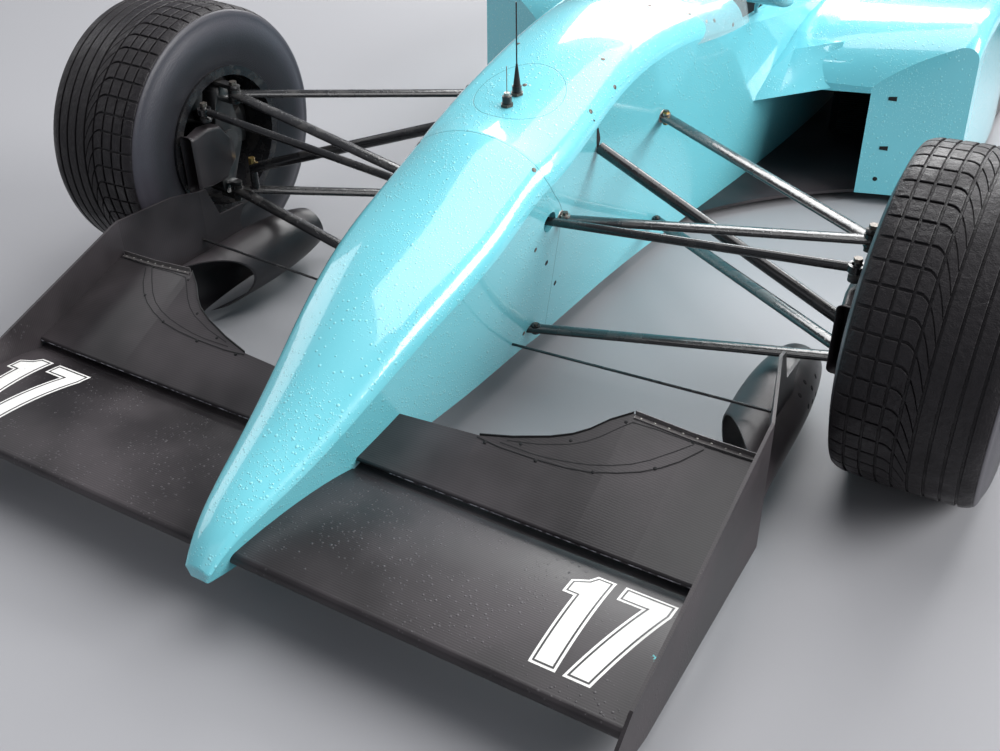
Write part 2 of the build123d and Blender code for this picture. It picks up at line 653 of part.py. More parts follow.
# Steering wheel: a padded rim on three flat spokes, fixed to its column
column_axis = (Vector(*COLUMN_TOP) - Vector(*COLUMN_LOW)).normalized()
with BuildPart() as steering_wheel:
    add_bar(COLUMN_LOW, COLUMN_TOP, COLUMN_RADIUS)
    wheel_face = Plane(origin=COLUMN_TOP, x_dir=(1, 0, 0), z_dir=column_axis)
    with BuildSketch(wheel_face):
        Circle(34)
        for turn in (0, 180, 90):
            with Locations(Rotation(0, 0, turn)):
                with Locations((STEERING_WHEEL_RADIUS / 2, 0)):
                    Rectangle(STEERING_WHEEL_RADIUS, 26)
    extrude(amount=5)
    with BuildSketch(Plane(origin=COLUMN_TOP, x_dir=(1, 0, 0), z_dir=(0, column_axis.Z, -column_axis.Y))):
        with Locations((STEERING_WHEEL_RADIUS, 0)):
            Circle(STEERING_RIM_RADIUS)
    revolve(axis=Axis(COLUMN_TOP, column_axis))
save(steering_wheel.part, "steering_wheel")

# Windscreen: a curved strip that leans back, standing on the cowl round the cockpit's mouth
with BuildPart() as windscreen:
    for inward, mode in ((0, Mode.ADD), (SCREEN_THICKNESS, Mode.SUBTRACT)):
        low = oval(COCKPIT_RIM, SCREEN_CENTRE, SCREEN_HALF_WIDTH - inward, SCREEN_CENTRE - SCREEN_FRONT - inward)
        high = oval(SCREEN_TOP, SCREEN_CENTRE + 20, SCREEN_HALF_WIDTH - 45 - inward,
                    SCREEN_CENTRE - SCREEN_FRONT - 110 - inward)
        loft([low, high], mode=mode)
    split(bisect_by=cross_plane(COCKPIT_SIDE_START), keep=Keep.TOP)
    with BuildSketch(side_plane(-POD_HALF_WIDTH)):
        with BuildLine():
            Polyline((COCKPIT_SIDE_START - 150, SCREEN_TOP + 5), (COCKPIT_SIDE_START + 5, SCREEN_TOP + 5),
                     (COCKPIT_SIDE_START + 5, SCREEN_TOP - 100), close=True)
        make_face()
    extrude(amount=2 * POD_HALF_WIDTH, mode=Mode.SUBTRACT)
    add(tub_outside.part, mode=Mode.SUBTRACT)
save(windscreen.part, "windscreen")

# Mirrors: a rounded shell on a bent stalk that stands on the cockpit's rim
with BuildPart() as mirrors:
    for side in (1, -1):
        head = place(mirrored(MIRROR_PLACE, side))
        foot = place((side * MIRROR_POST_X, MIRROR_POST_DISTANCE, COCKPIT_RIM + SEAT_GAP))
        bend = (foot[0], foot[1], foot[2] + MIRROR_POST_HEIGHT)
        add_bar(foot, bend, MIRROR_POST_RADIUS)
        add_bar((bend[0], bend[1], bend[2] - MIRROR_POST_RADIUS), head, MIRROR_POST_RADIUS)
        sketches = []
        for back, scale in ((-34, 0.35), (-18, 0.82), (22, 1.0)):
            with BuildSketch(Plane(origin=(head[0], head[1] + back, head[2]), x_dir=(1, 0, 0),
                                   z_dir=(0, -1, 0))) as ring:
                RectangleRounded(MIRROR_WIDTH * scale, MIRROR_HEIGHT * scale, 20 * scale)
            sketches.append(ring.sketch)
        loft(sketches)
save(mirrors.part, "mirrors")

# Radio antennas on the hatch ahead of the screen: a whip on a cone, and a short stub
with BuildPart() as antennas:
    with Locations(place((0, 31, 560)), place((0, -10, 552))):
        Cylinder(10, 34, align=(Align.CENTER, Align.CENTER, Align.MIN))
    with Locations(place((0, 31, 594))):
        Cone(8, 2, 46, align=(Align.CENTER, Align.CENTER, Align.MIN))
        Cylinder(1.5, 170, align=(Align.CENTER, Align.CENTER, Align.MIN))
    add(tub_outside.part, mode=Mode.SUBTRACT)
save(antennas.part, "antennas")

# Seat: a reclined shell on the tub's floor, with raised sides
SEAT_BASE = TUB_FLOOR + TUB_WALL + SEAT_GAP + SEAT_THICKNESS
SEAT_LINE = ((800, SEAT_BASE + 86), (870, SEAT_BASE + 30), (1010, SEAT_BASE), (1125, SEAT_BASE + 20),
             (1262, SEAT_BASE + 240), (1364, 540))
with BuildPart() as seat:
    with BuildSketch(side_plane(-SEAT_HALF_WIDTH)):
        with BuildLine():
            Polyline(*SEAT_LINE)
            offset(amount=SEAT_THICKNESS, side=Side.RIGHT)
        make_face()
    extrude(amount=2 * SEAT_HALF_WIDTH)
save(seat.part, "seat")

# Headrest pad on the bulkhead behind the driver's head
with BuildPart() as headrest:
    with Locations((0, station(COCKPIT_BACK) - 22 - SEAT_GAP, COCKPIT_RIM + 90)):
        Box(210, 44, 160)
    fillet(headrest.edges().filter_by(Axis.Y), radius=28)
save(headrest.part, "headrest")

# Flat floor, from the curve ahead of the pods to the diffuser
with BuildPart() as floor_plate:
    with BuildSketch(Plane.XY.offset(GROUND_CLEARANCE)) as outline:
        with BuildLine():
            Line((0, station(FLOOR_START)), (110, station(FLOOR_START)))
            ThreePointArc((110, station(FLOOR_START)), (262, station(870)), (540, station(1100)))
            Polyline((540, station(1100)), (POD_HALF_WIDTH - 10, station(1130)),
                     (POD_HALF_WIDTH - 10, station(POD_END - 260)), (FLOOR_TAIL_HALF, station(POD_END + 60)),
                     (FLOOR_TAIL_HALF, station(FLOOR_END)), (0, station(FLOOR_END)),
                     (0, station(FLOOR_START)))
        make_face()
        mirror(about=Plane.YZ)
    extrude(amount=FLOOR_THICKNESS)
    # The front edge rises with the tub's belly.
    add(tub_outside.part, mode=Mode.SUBTRACT)
save(floor_plate.part, "floor")

# Diffuser: the rising tail of the floor, with its fences
with BuildPart() as diffuser:
    with BuildSketch(side_plane(-FLOOR_TAIL_HALF)):
        with BuildLine():
            Polyline((FLOOR_END + SEAT_GAP, GROUND_CLEARANCE), (DIFFUSER_END, DIFFUSER_HEIGHT),
                     (DIFFUSER_END, DIFFUSER_HEIGHT + 6), (FLOOR_END + SEAT_GAP, FLOOR_TOP), close=True)
        make_face()
    extrude(amount=2 * FLOOR_TAIL_HALF)
    outer_fence = FLOOR_TAIL_HALF - DIFFUSER_FENCE_THICKNESS / 2
    inner_fence = DIFFUSER_INNER_FENCE * FLOOR_TAIL_HALF
    for x in (-outer_fence, -inner_fence, inner_fence, outer_fence):
        with BuildSketch(side_plane(x - DIFFUSER_FENCE_THICKNESS / 2)):
            with BuildLine():
                Polyline((FLOOR_END + 40, GROUND_CLEARANCE), (DIFFUSER_END - 20, GROUND_CLEARANCE + 30),
                         (DIFFUSER_END - 20, DIFFUSER_HEIGHT), (FLOOR_END + 40, FLOOR_TOP), close=True)
            make_face()
        extrude(amount=DIFFUSER_FENCE_THICKNESS)
save(diffuser.part, "diffuser")

# Engine: one plain block of a narrow V8 with its intake tower
with BuildPart() as engine_block:
    with BuildSketch(cross_plane(TUB_END + SEAT_GAP)):
        with BuildLine():
            Polyline((-ENGINE_HALF_WIDTH + 60, ENGINE_BOTTOM), (ENGINE_HALF_WIDTH - 60, ENGINE_BOTTOM),
                     (ENGINE_HALF_WIDTH, ENGINE_TOP - 120), (ENGINE_HALF_WIDTH, ENGINE_TOP),
                     (-ENGINE_HALF_WIDTH, ENGINE_TOP), (-ENGINE_HALF_WIDTH, ENGINE_TOP - 120), close=True)
        make_face()
    extrude(amount=-ENGINE_LENGTH)
save(engine_block.part, "engine_block")

# Gearbox: a tapering case behind the engine, with the two output bosses on the rear axle's line
GEARBOX_START = TUB_END + ENGINE_LENGTH + 2 * SEAT_GAP
# distance, half width, bottom, top
GEARBOX_SECTIONS = (
    (GEARBOX_START, 150, 80, 410),
    (WHEELBASE - 110, 128, 150, 420),
    (WHEELBASE + 110, 120, 176, 400),
    (GEARBOX_START + GEARBOX_LENGTH, 78, 205, 372),
)
with BuildPart() as gearbox:
    rings = []
    for distance, half_width, low, high in GEARBOX_SECTIONS:
        with BuildSketch(cross_plane(distance)) as ring:
            with Locations((0, (low + high) / 2)):
                RectangleRounded(2 * half_width, high - low, 30)
        rings.append(ring.sketch)
    loft(rings, ruled=True)
    add_bar((4 - SHAFT_INNER, REAR_AXLE_Y, REAR_TYRE_RADIUS),
            (SHAFT_INNER - 4, REAR_AXLE_Y, REAR_TYRE_RADIUS), 44)
    # Socket for the outside starter's shaft, in the tail
    tail = place((0, GEARBOX_START + GEARBOX_LENGTH, STARTER_HEIGHT))
    add_bar(tail, (tail[0], tail[1] - STARTER_DEPTH, tail[2]), STARTER_RADIUS, mode=Mode.SUBTRACT)
save(gearbox.part, "gearbox")

# Exhausts: four short pipes a side into a collector that blows low behind the engine
EXHAUST_ROUTE = ((268, 2010, 262), (268, 2450, 244), (196, 2740, 196))
with BuildPart() as exhausts:
    for side in (1, -1):
        route = [place(mirrored(point, side)) for point in EXHAUST_ROUTE]
        with BuildLine() as path:
            FilletPolyline(*route, radius=160)
        with BuildSketch(Plane(origin=route[0], z_dir=Vector(*route[1]) - Vector(*route[0]))) as pipe:
            Circle(27)
            Circle(24, mode=Mode.SUBTRACT)
        sweep(pipe.sketch, path=path.line)
    for side in (1, -1):
        for distance in (2020, 2140, 2260, 2380):
            height = 262 - (distance - 2010) * 18 / 440
            add_bar(place((side * (ENGINE_HALF_WIDTH + SEAT_GAP), distance - 30, 320)),
                    place((side * 252, distance, height + 18)), 15)
    add(engine_block.part, mode=Mode.SUBTRACT)
save(exhausts.part, "exhausts")

# Sidepods: one-piece covers on the floor, open to the tub inside, with an inlet in front
# distance, outer half width, bottom outer half width, height by the tub, height at the outer edge
POD_SECTIONS = (
    (POD_FRONT, 716, 728, 322, 345),
    (1120, 728, 736, 420, 468),
    (1400, POD_HALF_WIDTH, 738, 468, 500),
    (1700, POD_HALF_WIDTH - 6, 730, 470, 486),
    (2100, 610, 640, 448, 430),
    (POD_END, 400, 440, 400, 350),
)
POD_INNER = 150.0
POD_FLAT = 285.0
POD_EDGE_RADIUS = 46.0
POD_SWEEP = 78.0
# The brow reaches forward over the inlet to the tub's side.
# x, distance and height of the lip, distance and height of the crease above it
BROW_SECTIONS = (
    (POD_INNER, 840, 275, 965, 318),
    (210, 946, 281, 985, 328),
    (262, 978, 290, 1078, 390),
    (385, POD_FRONT + 1, 314, 1100, 424),
)
BROW_BACK = 1125.0


def pod_section(side, row, wall):
    """A sidepod's section: level by the tub, then sloping to a rounded outer edge."""
    distance, outer, foot, inner_height, outer_height = row
    foot_height = FLOOR_TOP + SEAT_GAP if wall == 0 else FLOOR_TOP - FLOOR_THICKNESS
    outer = outer - wall
    foot = foot - wall
    inner_height = inner_height - wall
    outer_height = outer_height - wall
    radius = POD_EDGE_RADIUS - wall
    with BuildSketch(cross_plane(distance)) as section:
        with BuildLine():
            Line((side * POD_INNER, foot_height), (side * foot, foot_height))
            Line((side * foot, foot_height), (side * outer, outer_height - radius))
            ThreePointArc((side * outer, outer_height - radius),
                          (side * (outer - radius * 0.3), outer_height - radius * 0.3),
                          (side * (outer - radius), outer_height))
            Line((side * (outer - radius), outer_height), (side * POD_FLAT, inner_height))
            Line((side * POD_FLAT, inner_height), (side * POD_INNER, inner_height))
            Line((side * POD_INNER, inner_height), (side * POD_INNER, foot_height))
        make_face()
    return section.sketch


def ahead_of_pod(side, wall):
    """The space ahead of the pod's front face, which sweeps back outside the inlet."""
    with BuildSketch() as plan:
        with BuildLine():
            Polyline(place((side * INLET_OUTER, POD_FRONT - 60, 0)), place((side * INLET_OUTER, POD_FRONT + wall, 0)),
                     place((side * (POD_HALF_WIDTH + 20), POD_FRONT + POD_SWEEP + wall, 0)),
                     place((side * (POD_HALF_WIDTH + 20), POD_FRONT - 60, 0)), close=True)
        make_face()
    return plan.sketch


sidepods = []
for corner, side in (("left", 1), ("right", -1)):
    with BuildPart() as sidepod:
        loft([pod_section(side, row, 0) for row in POD_SECTIONS])
        with BuildPart(mode=Mode.PRIVATE) as pod_space:
            loft([pod_section(side, row, COVER_WALL) for row in POD_SECTIONS])
            split(bisect_by=cross_plane(POD_FRONT + COVER_WALL), keep=Keep.BOTTOM)
            extrude(ahead_of_pod(side, COVER_WALL), amount=WING_SPAN, mode=Mode.SUBTRACT)
        add(pod_space.part, mode=Mode.SUBTRACT)
        extrude(ahead_of_pod(side, 0), amount=WING_SPAN, mode=Mode.SUBTRACT)
        with BuildSketch(cross_plane(POD_FRONT - 50)):
            with BuildLine():
                Polyline((side * POD_INNER, FLOOR_TOP - 5), (side * INLET_OUTER, FLOOR_TOP - 5),
                         (side * INLET_OUTER, INLET_TOP), (side * POD_INNER, INLET_TOP - 34), close=True)
            make_face()
        extrude(amount=-60 - COVER_WALL, mode=Mode.SUBTRACT)
        brow = []
        for x, lip, lip_height, crease, crease_height in BROW_SECTIONS:
            with BuildSketch(side_plane(side * x)) as ring:
                with BuildLine():
                    Polyline((lip, lip_height), (crease, crease_height), (BROW_BACK, BROW_SECTIONS[-1][4]),
                             (BROW_BACK, lip_height + COVER_WALL), close=True)
                make_face()
            brow.append(ring.sketch)
        loft(brow, ruled=True)
        add(tub_outside.part, mode=Mode.SUBTRACT)
    sidepods.append(sidepod.part)
    save(sidepod.part, "sidepod_" + corner)

# Radiators: a slanted finned core in each pod, standing on the floor
with BuildPart() as radiators:
    for side in (1, -1):
        core = Plane(origin=(side * 480, station(1560), FLOOR_TOP + SEAT_GAP), x_dir=(0.8, side * 0.6, 0))
        with BuildSketch(core):
            Rectangle(430, 55)
        extrude(amount=330)
    add(tub_outside.part, mode=Mode.SUBTRACT)
save(radiators.part, "radiators")

# Engine cover: a spine from the airbox behind the driver's head down to the gearbox
# distance, half width, crease, crown, shoulder radius, half width of the foot, foot
COVER_SECTIONS = (
    (1392, 146, 824, 962, 90, 232, 473),
    (1550, 148, 814, 955, 88, 236, 473),
    (1700, 156, 766, 915, 84, 240, 473),
    (2100, 168, 574, 730, 80, 238, 454),
    (POD_END, 150, 452, 588, 70, 200, 412),
    (2760, 118, 452, 505, 40, 124, 440),
)
with BuildPart() as cover_space:
    loft([shell_section(*inset(row[:6] + (row[6] - 12,), COVER_WALL)) for row in COVER_SECTIONS])
    split(bisect_by=cross_plane(COVER_SECTIONS[0][0] + COVER_WALL), keep=Keep.BOTTOM)
with BuildPart() as engine_cover:
    loft([shell_section(*row) for row in COVER_SECTIONS])
    add(cover_space.part, mode=Mode.SUBTRACT)
    # The airbox mouth, and the duct behind it
    with BuildSketch(cross_plane(COVER_SECTIONS[0][0] - 5)):
        with Locations((0, AIRBOX_HEIGHT)):
            Ellipse(AIRBOX_HALF_WIDTH, AIRBOX_HALF_HEIGHT)
    extrude(amount=-60, mode=Mode.SUBTRACT)
    add(tub_outside.part, mode=Mode.SUBTRACT)
    for pod in sidepods:
        add(pod, mode=Mode.SUBTRACT)
save(engine_cover.part, "engine_cover")

# Rear suspension: two wishbones a side, toe link and pushrod, from gearbox to upright
REAR_UPPER_BALL = (690.0, 2870.0, 458.0)
REAR_LOWER_BALL = (700.0, 2885.0, 198.0)
REAR_UPPER_LEGS = ((100, 2640, 392), (90, 3030, 386))
REAR_LOWER_LEGS = ((120, 2560, 148), (80, 3050, 214))
REAR_TOE_LINK = ((690, 2990, 300), (80, 3110, 330))
REAR_PUSHROD = ((655, 2886, 204), (110, 2700, 404))
with BuildPart() as rear_uprights:
    for corner, side, distance, half_track, radius, width, spider, disc in WHEELS[2:]:
        centre = (side * half_track, station(distance), radius)
        upright_plane = Plane(origin=(side * REAR_UPRIGHT_X, FRONT_AXLE_Y, 0), x_dir=(0, 1, 0), z_dir=(1, 0, 0))
        with BuildSketch(upright_plane) as plate:
            with Locations((distance, radius)):
                Circle(UPRIGHT_BOSS_RADIUS + 6)
            for ball in (REAR_UPPER_BALL, REAR_LOWER_BALL):
                with Locations((ball[1], ball[2])):
                    Circle(17)
            with Locations((REAR_TOE_LINK[0][1], REAR_TOE_LINK[0][2])):
                Circle(16)
            make_hull()
        extrude(plate.sketch, amount=UPRIGHT_THICKNESS * side)
        add_caliper(centre, side, disc, side * (REAR_UPRIGHT_X + UPRIGHT_THICKNESS) - centre[0])
        add_bar((0, centre[1], centre[2]), (2 * centre[0], centre[1], centre[2]), AXLE_RADIUS + PIN_GAP,
                mode=Mode.SUBTRACT)
save(rear_uprights.part, "rear_uprights")

with BuildPart() as rear_wishbones:
    for side in (1, -1):
        for outer, legs in ((REAR_UPPER_BALL, REAR_UPPER_LEGS), (REAR_LOWER_BALL, REAR_LOWER_LEGS)):
            for leg in legs:
                add_strut(place(mirrored(leg, side)), place(mirrored(outer, side)),
                          WISHBONE_CHORD, WISHBONE_THICKNESS)
    add(gearbox.part, mode=Mode.SUBTRACT)
    add(engine_block.part, mode=Mode.SUBTRACT)
    add(rear_uprights.part, mode=Mode.SUBTRACT)
save(rear_wishbones.part, "rear_wishbones")

with BuildPart() as rear_links:
    for side in (1, -1):
        for (outer, inner), radius in ((REAR_TOE_LINK, TRACK_ROD_RADIUS), (REAR_PUSHROD, PUSHROD_RADIUS)):
            add_bar(place(mirrored(outer, side)), place(mirrored(inner, side)), radius)
    add(gearbox.part, mode=Mode.SUBTRACT)
    add(rear_uprights.part, mode=Mode.SUBTRACT)
    add(rear_wishbones.part, mode=Mode.SUBTRACT)
save(rear_links.part, "rear_links")

# Rear wing: two upper planes and a lower beam between two endplates
REAR_LIMIT = WHEELBASE + REAR_OVERHANG
with BuildPart() as rear_wing_endplates:
    with BuildSketch(side_plane(REAR_WING_SPAN / 2 - ENDPLATE_THICKNESS)):
        with BuildLine():
            Polyline((2950, 760), (2960, REAR_WING_TOP), (REAR_LIMIT, REAR_WING_TOP), (REAR_LIMIT, 400),
                     (3260, 330), (3020, 330), (3010, 560), close=True)
        make_face()
    extrude(amount=ENDPLATE_THICKNESS)
    mirror(about=Plane.YZ)
save(rear_wing_endplates.part, "rear_wing_endplates")

REAR_PLANE_HALF = REAR_WING_SPAN / 2 - ENDPLATE_THICKNESS - SEAT_GAP
# leading point, trailing point, nose radius, upper and lower bulge, all as distance and height
REAR_PLANES = (
    ((2985, 868), (3228, 896), 12, 16, -34),
    ((3226, 912), (3366, 972), 6, 6, -16),
)
with BuildPart() as rear_wing_planes:
    for leading, trailing, nose_radius, upper, lower in REAR_PLANES:
        loft([aerofoil(x, leading, trailing, nose_radius, upper, lower)
              for x in (-REAR_PLANE_HALF, REAR_PLANE_HALF)], ruled=True)
save(rear_wing_planes.part, "rear_wing_planes")

with BuildPart() as rear_beam_wing:
    loft([aerofoil(x, (3050, 402), (3250, 430), 9, 10, -22) for x in (-REAR_PLANE_HALF, REAR_PLANE_HALF)],
         ruled=True)
    with Locations((0, station(3150), 385)):
        Box(70, 110, 50)
    add(gearbox.part, mode=Mode.SUBTRACT)
save(rear_beam_wing.part, "rear_beam_wing")

# Rain light on the tail of the gearbox
with BuildPart() as rain_light:
    with Locations((0, station(GEARBOX_START + GEARBOX_LENGTH + SEAT_GAP), 330)):
        Box(100, 36, 62, align=(Align.CENTER, Align.MIN, Align.CENTER))
    fillet(rain_light.edges().filter_by(Axis.Y), radius=8)
save(rain_light.part, "rain_light")

# Thin stays that hold the front endplates' tails from the nose
with BuildPart() as front_wing_stays:
    for side in (1, -1):
        add_bar(place((side * 80, -185, 116)), place((side * (TAIL_X - 1), TAIL_BEND - 10, 190)), STAY_RADIUS)
    add(nose_outside.part, mode=Mode.SUBTRACT)
save(front_wing_stays.part, "front_wing_stays")
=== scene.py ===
import bmesh
import bpy
import cmath
import math
from itertools import product
from mathutils import Matrix, Vector
from mathutils.bvhtree import BVHTree


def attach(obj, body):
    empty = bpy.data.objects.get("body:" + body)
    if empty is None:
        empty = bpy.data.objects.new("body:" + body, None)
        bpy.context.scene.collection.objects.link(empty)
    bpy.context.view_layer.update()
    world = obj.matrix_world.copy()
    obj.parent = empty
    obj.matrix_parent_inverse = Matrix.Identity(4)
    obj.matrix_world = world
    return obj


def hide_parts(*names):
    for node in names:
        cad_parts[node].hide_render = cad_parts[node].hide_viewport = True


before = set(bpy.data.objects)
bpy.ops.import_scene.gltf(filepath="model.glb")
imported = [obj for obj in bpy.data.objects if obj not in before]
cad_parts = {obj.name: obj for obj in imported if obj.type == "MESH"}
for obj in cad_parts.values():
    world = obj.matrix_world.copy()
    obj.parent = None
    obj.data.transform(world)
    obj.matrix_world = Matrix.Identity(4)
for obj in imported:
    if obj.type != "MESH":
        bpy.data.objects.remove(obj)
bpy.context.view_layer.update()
FRONT_AXLE_Y = -1.1725

# Camera: it stands ahead of the left front wheel, above head height, and looks back and down
# over the front wing towards the cockpit.
CAMERA_PLACE = Vector((1.1338, -3.1133, 1.4601))
CAMERA_YAW = math.radians(-31.080)
CAMERA_DIP = math.radians(34.986)
CAMERA_ROLL = math.radians(-1.170)


def placed(name, data):
    """A new object with the given data, in the scene."""
    obj = bpy.data.objects.new(name, data)
    bpy.context.scene.collection.objects.link(obj)
    return obj


camera_data = bpy.data.cameras.new("camera")
camera_data.sensor_width = 36.0
camera_data.lens = 41.40
camera_data.clip_start = 0.05
camera_data.clip_end = 100.0
camera = placed("camera", camera_data)
turn = Matrix.Rotation(-CAMERA_YAW, 4, "Z") @ Matrix.Rotation(math.pi / 2 - CAMERA_DIP, 4, "X")
camera.matrix_world = Matrix.Translation(CAMERA_PLACE) @ turn @ Matrix.Rotation(CAMERA_ROLL, 4, "Z")
bpy.context.scene.camera = camera

# Floor and light: a plain pale floor under one broad lamp behind the car, as from a garage door,
# with weaker ones at the front and sides.
FLOOR_HALF = 30.0
FLOOR_COLOUR = (0.31, 0.31, 0.325, 1.0)
floor_mesh = bpy.data.meshes.new("studio_floor")
floor_mesh.from_pydata([(-FLOOR_HALF, -FLOOR_HALF, 0), (FLOOR_HALF, -FLOOR_HALF, 0),
                        (FLOOR_HALF, FLOOR_HALF, 0), (-FLOOR_HALF, FLOOR_HALF, 0)], [], [(0, 1, 2, 3)])
studio_floor = placed("studio_floor", floor_mesh)
floor_finish = bpy.data.materials.new("studio_floor")
floor_finish.use_nodes = True
floor_shader = floor_finish.node_tree.nodes["Principled BSDF"]
floor_shader.inputs["Base Color"].default_value = FLOOR_COLOUR
floor_shader.inputs["Roughness"].default_value = 0.60
floor_mesh.materials.append(floor_finish)

world = bpy.data.worlds.new("studio")
world.use_nodes = True
world.node_tree.nodes["Background"].inputs["Color"].default_value = (0.86, 0.90, 1.0, 1.0)
world.node_tree.nodes["Background"].inputs["Strength"].default_value = 0.27
bpy.context.scene.world = world
bpy.context.scene.view_settings.view_transform = "Standard"

# name, place, what it points at, width, length, watts
LAMPS = (
    ("door_lamp", (-0.6, 5.2, 4.0), (0, 0, 0.4), 6.0, 3.2, 560),
    ("top_lamp", (0.3, 0.3, 4.4), (0, -0.4, 0), 3.0, 5.0, 160),
    ("left_lamp", (8.5, 0.9, 5.2), (0, -0.4, 0.3), 7.0, 4.4, 1180),
    ("right_lamp", (-8.5, -1.8, 4.4), (0, -0.4, 0.3), 7.0, 3.6, 170),
    ("front_lamp", (0.8, -6.0, 3.0), (0, -1.4, 0.2), 4.0, 2.0, 12),
)
for name, place, target, width, length, power in LAMPS:
    lamp_data = bpy.data.lights.new(name, "AREA")
    lamp_data.shape = "RECTANGLE"
    lamp_data.size = width
    lamp_data.size_y = length
    lamp_data.energy = power
    lamp = placed(name, lamp_data)
    lamp.location = place
    lamp.rotation_euler = (Vector(target) - Vector(place)).to_track_quat("-Z", "Y").to_euler()


# Bodywork: nose cone, tub, sidepods, engine cover and mirror shells. They are moulded panels
# in gloss turquoise paint, wet with small beads of rain, held by quarter-turn fasteners.
def operator_of(operation):
    """A method that joins a field and another value in one maths node."""
    return lambda field, other: field.maths(operation, field, other)


class Field:
    """One output of a node tree. Sums and products of fields add the nodes that work them out."""

    __add__ = operator_of("ADD")
    __sub__ = operator_of("SUBTRACT")
    __mul__ = operator_of("MULTIPLY")
    __truediv__ = operator_of("DIVIDE")
    __pow__ = operator_of("POWER")

    def __init__(self, tree, socket=None):
        self.tree = tree
        self.socket = socket

    def node(self, kind, settings, sockets, output=0):
        """Adds a node: first its settings, then each socket's value or field."""
        made = self.tree.nodes.new(kind)
        for name, value in settings.items():
            setattr(made, name, value)
        for name, value in sockets.items():
            if isinstance(value, Field):
                self.tree.links.new(value.socket, made.inputs[name])
            else:
                made.inputs[name].default_value = value
        return Field(self.tree, made.outputs[output])

    def maths(self, operation, *values):
        return self.node("ShaderNodeMath", {"operation": operation}, dict(enumerate(values)))

    def __rsub__(self, other):
        return self.maths("SUBTRACT", other, self)

    def __abs__(self):
        return self.maths("ABSOLUTE", self)


def start_finish(name):
    """A new material, and the object's own coordinates in its tree."""
    material = bpy.data.materials.new(name)
    material.use_nodes = True
    material.node_tree.nodes.clear()
    return material, Field(material.node_tree).node("ShaderNodeTexCoord", {}, {}, "Object")


def end_finish(spot, colour, values, bump=None, height=0.001):
    """Ends a material in one Principled shader, with a bump of the given height where there is one."""
    sockets = {"Base Color": colour, **values}
    if bump is not None:
        sockets["Normal"] = spot.node("ShaderNodeBump", {}, {"Height": bump, "Distance": height})
    shader = spot.node("ShaderNodeBsdfPrincipled", {}, sockets)
    end = spot.tree.nodes.new("ShaderNodeOutputMaterial")
    spot.tree.links.new(shader.socket, end.inputs["Surface"])


def ease(field, low, high):
    """0 below low and 1 above high, with a soft step between."""
    return field.node("ShaderNodeMapRange", {"interpolation_type": "SMOOTHSTEP"},
                      {"Value": field, "From Min": low, "From Max": high})


def noise(spot, scale, detail=2.0):
    return spot.node("ShaderNodeTexNoise", {}, {"Vector": spot, "Scale": scale, "Detail": detail})


def blend_colour(factor, first, second):
    return factor.node("ShaderNodeMix", {"data_type": "RGBA"}, {0: factor, 6: first, 7: second}, 2)


def parts_of(spot):
    return [spot.node("ShaderNodeSeparateXYZ", {}, {0: spot}, i) for i in range(3)]


def ridges(field, pitch):
    """A wave along a field, from -1 to 1, with one crest in each pitch."""
    return field.maths("SINE", field * (2 * math.pi / pitch))


def rain_beads(spot, spacing, share):
    """Domes of standing water, each a slice of a ball whose size is its cell's own."""
    cells = {"Vector": spot, "Scale": 1 / spacing, "Randomness": 1.0}
    reach = spot.node("ShaderNodeTexVoronoi", {}, cells, "Distance")
    tint = spot.node("ShaderNodeTexVoronoi", {}, cells, "Color")
    size = parts_of(tint)[0] * share + 0.02
    dome = 1 - (reach / size) ** 2.0
    return dome.maths("MAXIMUM", dome, 0.0)


def near(spot, place):
    """Distance from a place."""
    return spot.node("ShaderNodeVectorMath", {"operation": "DISTANCE"}, {0: spot, 1: place}, "Value")


def by_axle(x, back, high, side=1):
    """A place given by its distance behind the front axle. On side -1 it is mirrored to the right."""
    return Vector((side * x, FRONT_AXLE_Y + back, high))


SEAM_TOP = -0.130
SEAM_SWEEP = 0.085
SEAM_LOW = 0.36
SEAM_HIGH = 0.50
HATCH_MIDDLE = 0.042
HATCH_RADIUS = 0.096
HATCH_FADE = (0.49, 0.51)
UPPER_CHIP = by_axle(0.090, -0.744, 0.292)
LOWER_CHIP = by_axle(0.054, -0.918, 0.210)
paint, spot = start_finish("turquoise_paint")
fine_beads = rain_beads(spot, 0.0046, 0.46)
large_beads = rain_beads(spot, 0.0105, 0.30)
patches = ease(noise(spot, 7.0), 0.34, 0.56)
water = fine_beads * patches + large_beads * 1.2
shade = blend_colour(noise(spot, 2.2), (0.160, 0.58, 0.67, 1), (0.195, 0.66, 0.75, 1))
# Painted highlight: the paint is drawn paler on the water beads, standing in for their glints.
shade = blend_colour(ease(water, 0.0, 0.5) * 0.35, shade, (0.36, 0.82, 0.86, 1))
along, back, high = parts_of(spot)
seam = (1 - ease(high, SEAM_LOW, SEAM_HIGH)) * SEAM_SWEEP + (FRONT_AXLE_Y + SEAM_TOP)
seam_line = 1 - ease(abs(back - seam), 0.0005, 0.0013)
from_hatch = ((along ** 2.0) + ((back - (FRONT_AXLE_Y + HATCH_MIDDLE)) ** 2.0)) ** 0.5
hatch_line = (1 - ease(abs(from_hatch - HATCH_RADIUS), 0.0004, 0.0011)) * ease(high, *HATCH_FADE)
lines = seam_line.maths("MAXIMUM", seam_line, hatch_line)
shade = blend_colour(lines * 0.55, shade, (0.015, 0.10, 0.11, 1))
chips = spot.maths("MAXIMUM", 1 - ease(near(spot, UPPER_CHIP), 0.003, 0.006),
                   1 - ease(near(spot, LOWER_CHIP), 0.003, 0.007))
shade = blend_colour(chips * ease(noise(spot, 400.0, 3.0), 0.40, 0.55), shade, (0.30, 0.16, 0.06, 1))
end_finish(spot, shade, {"Roughness": 0.26, "Coat Weight": 1.0, "Coat Roughness": 0.04},
           water - lines * 0.8, 0.0009)


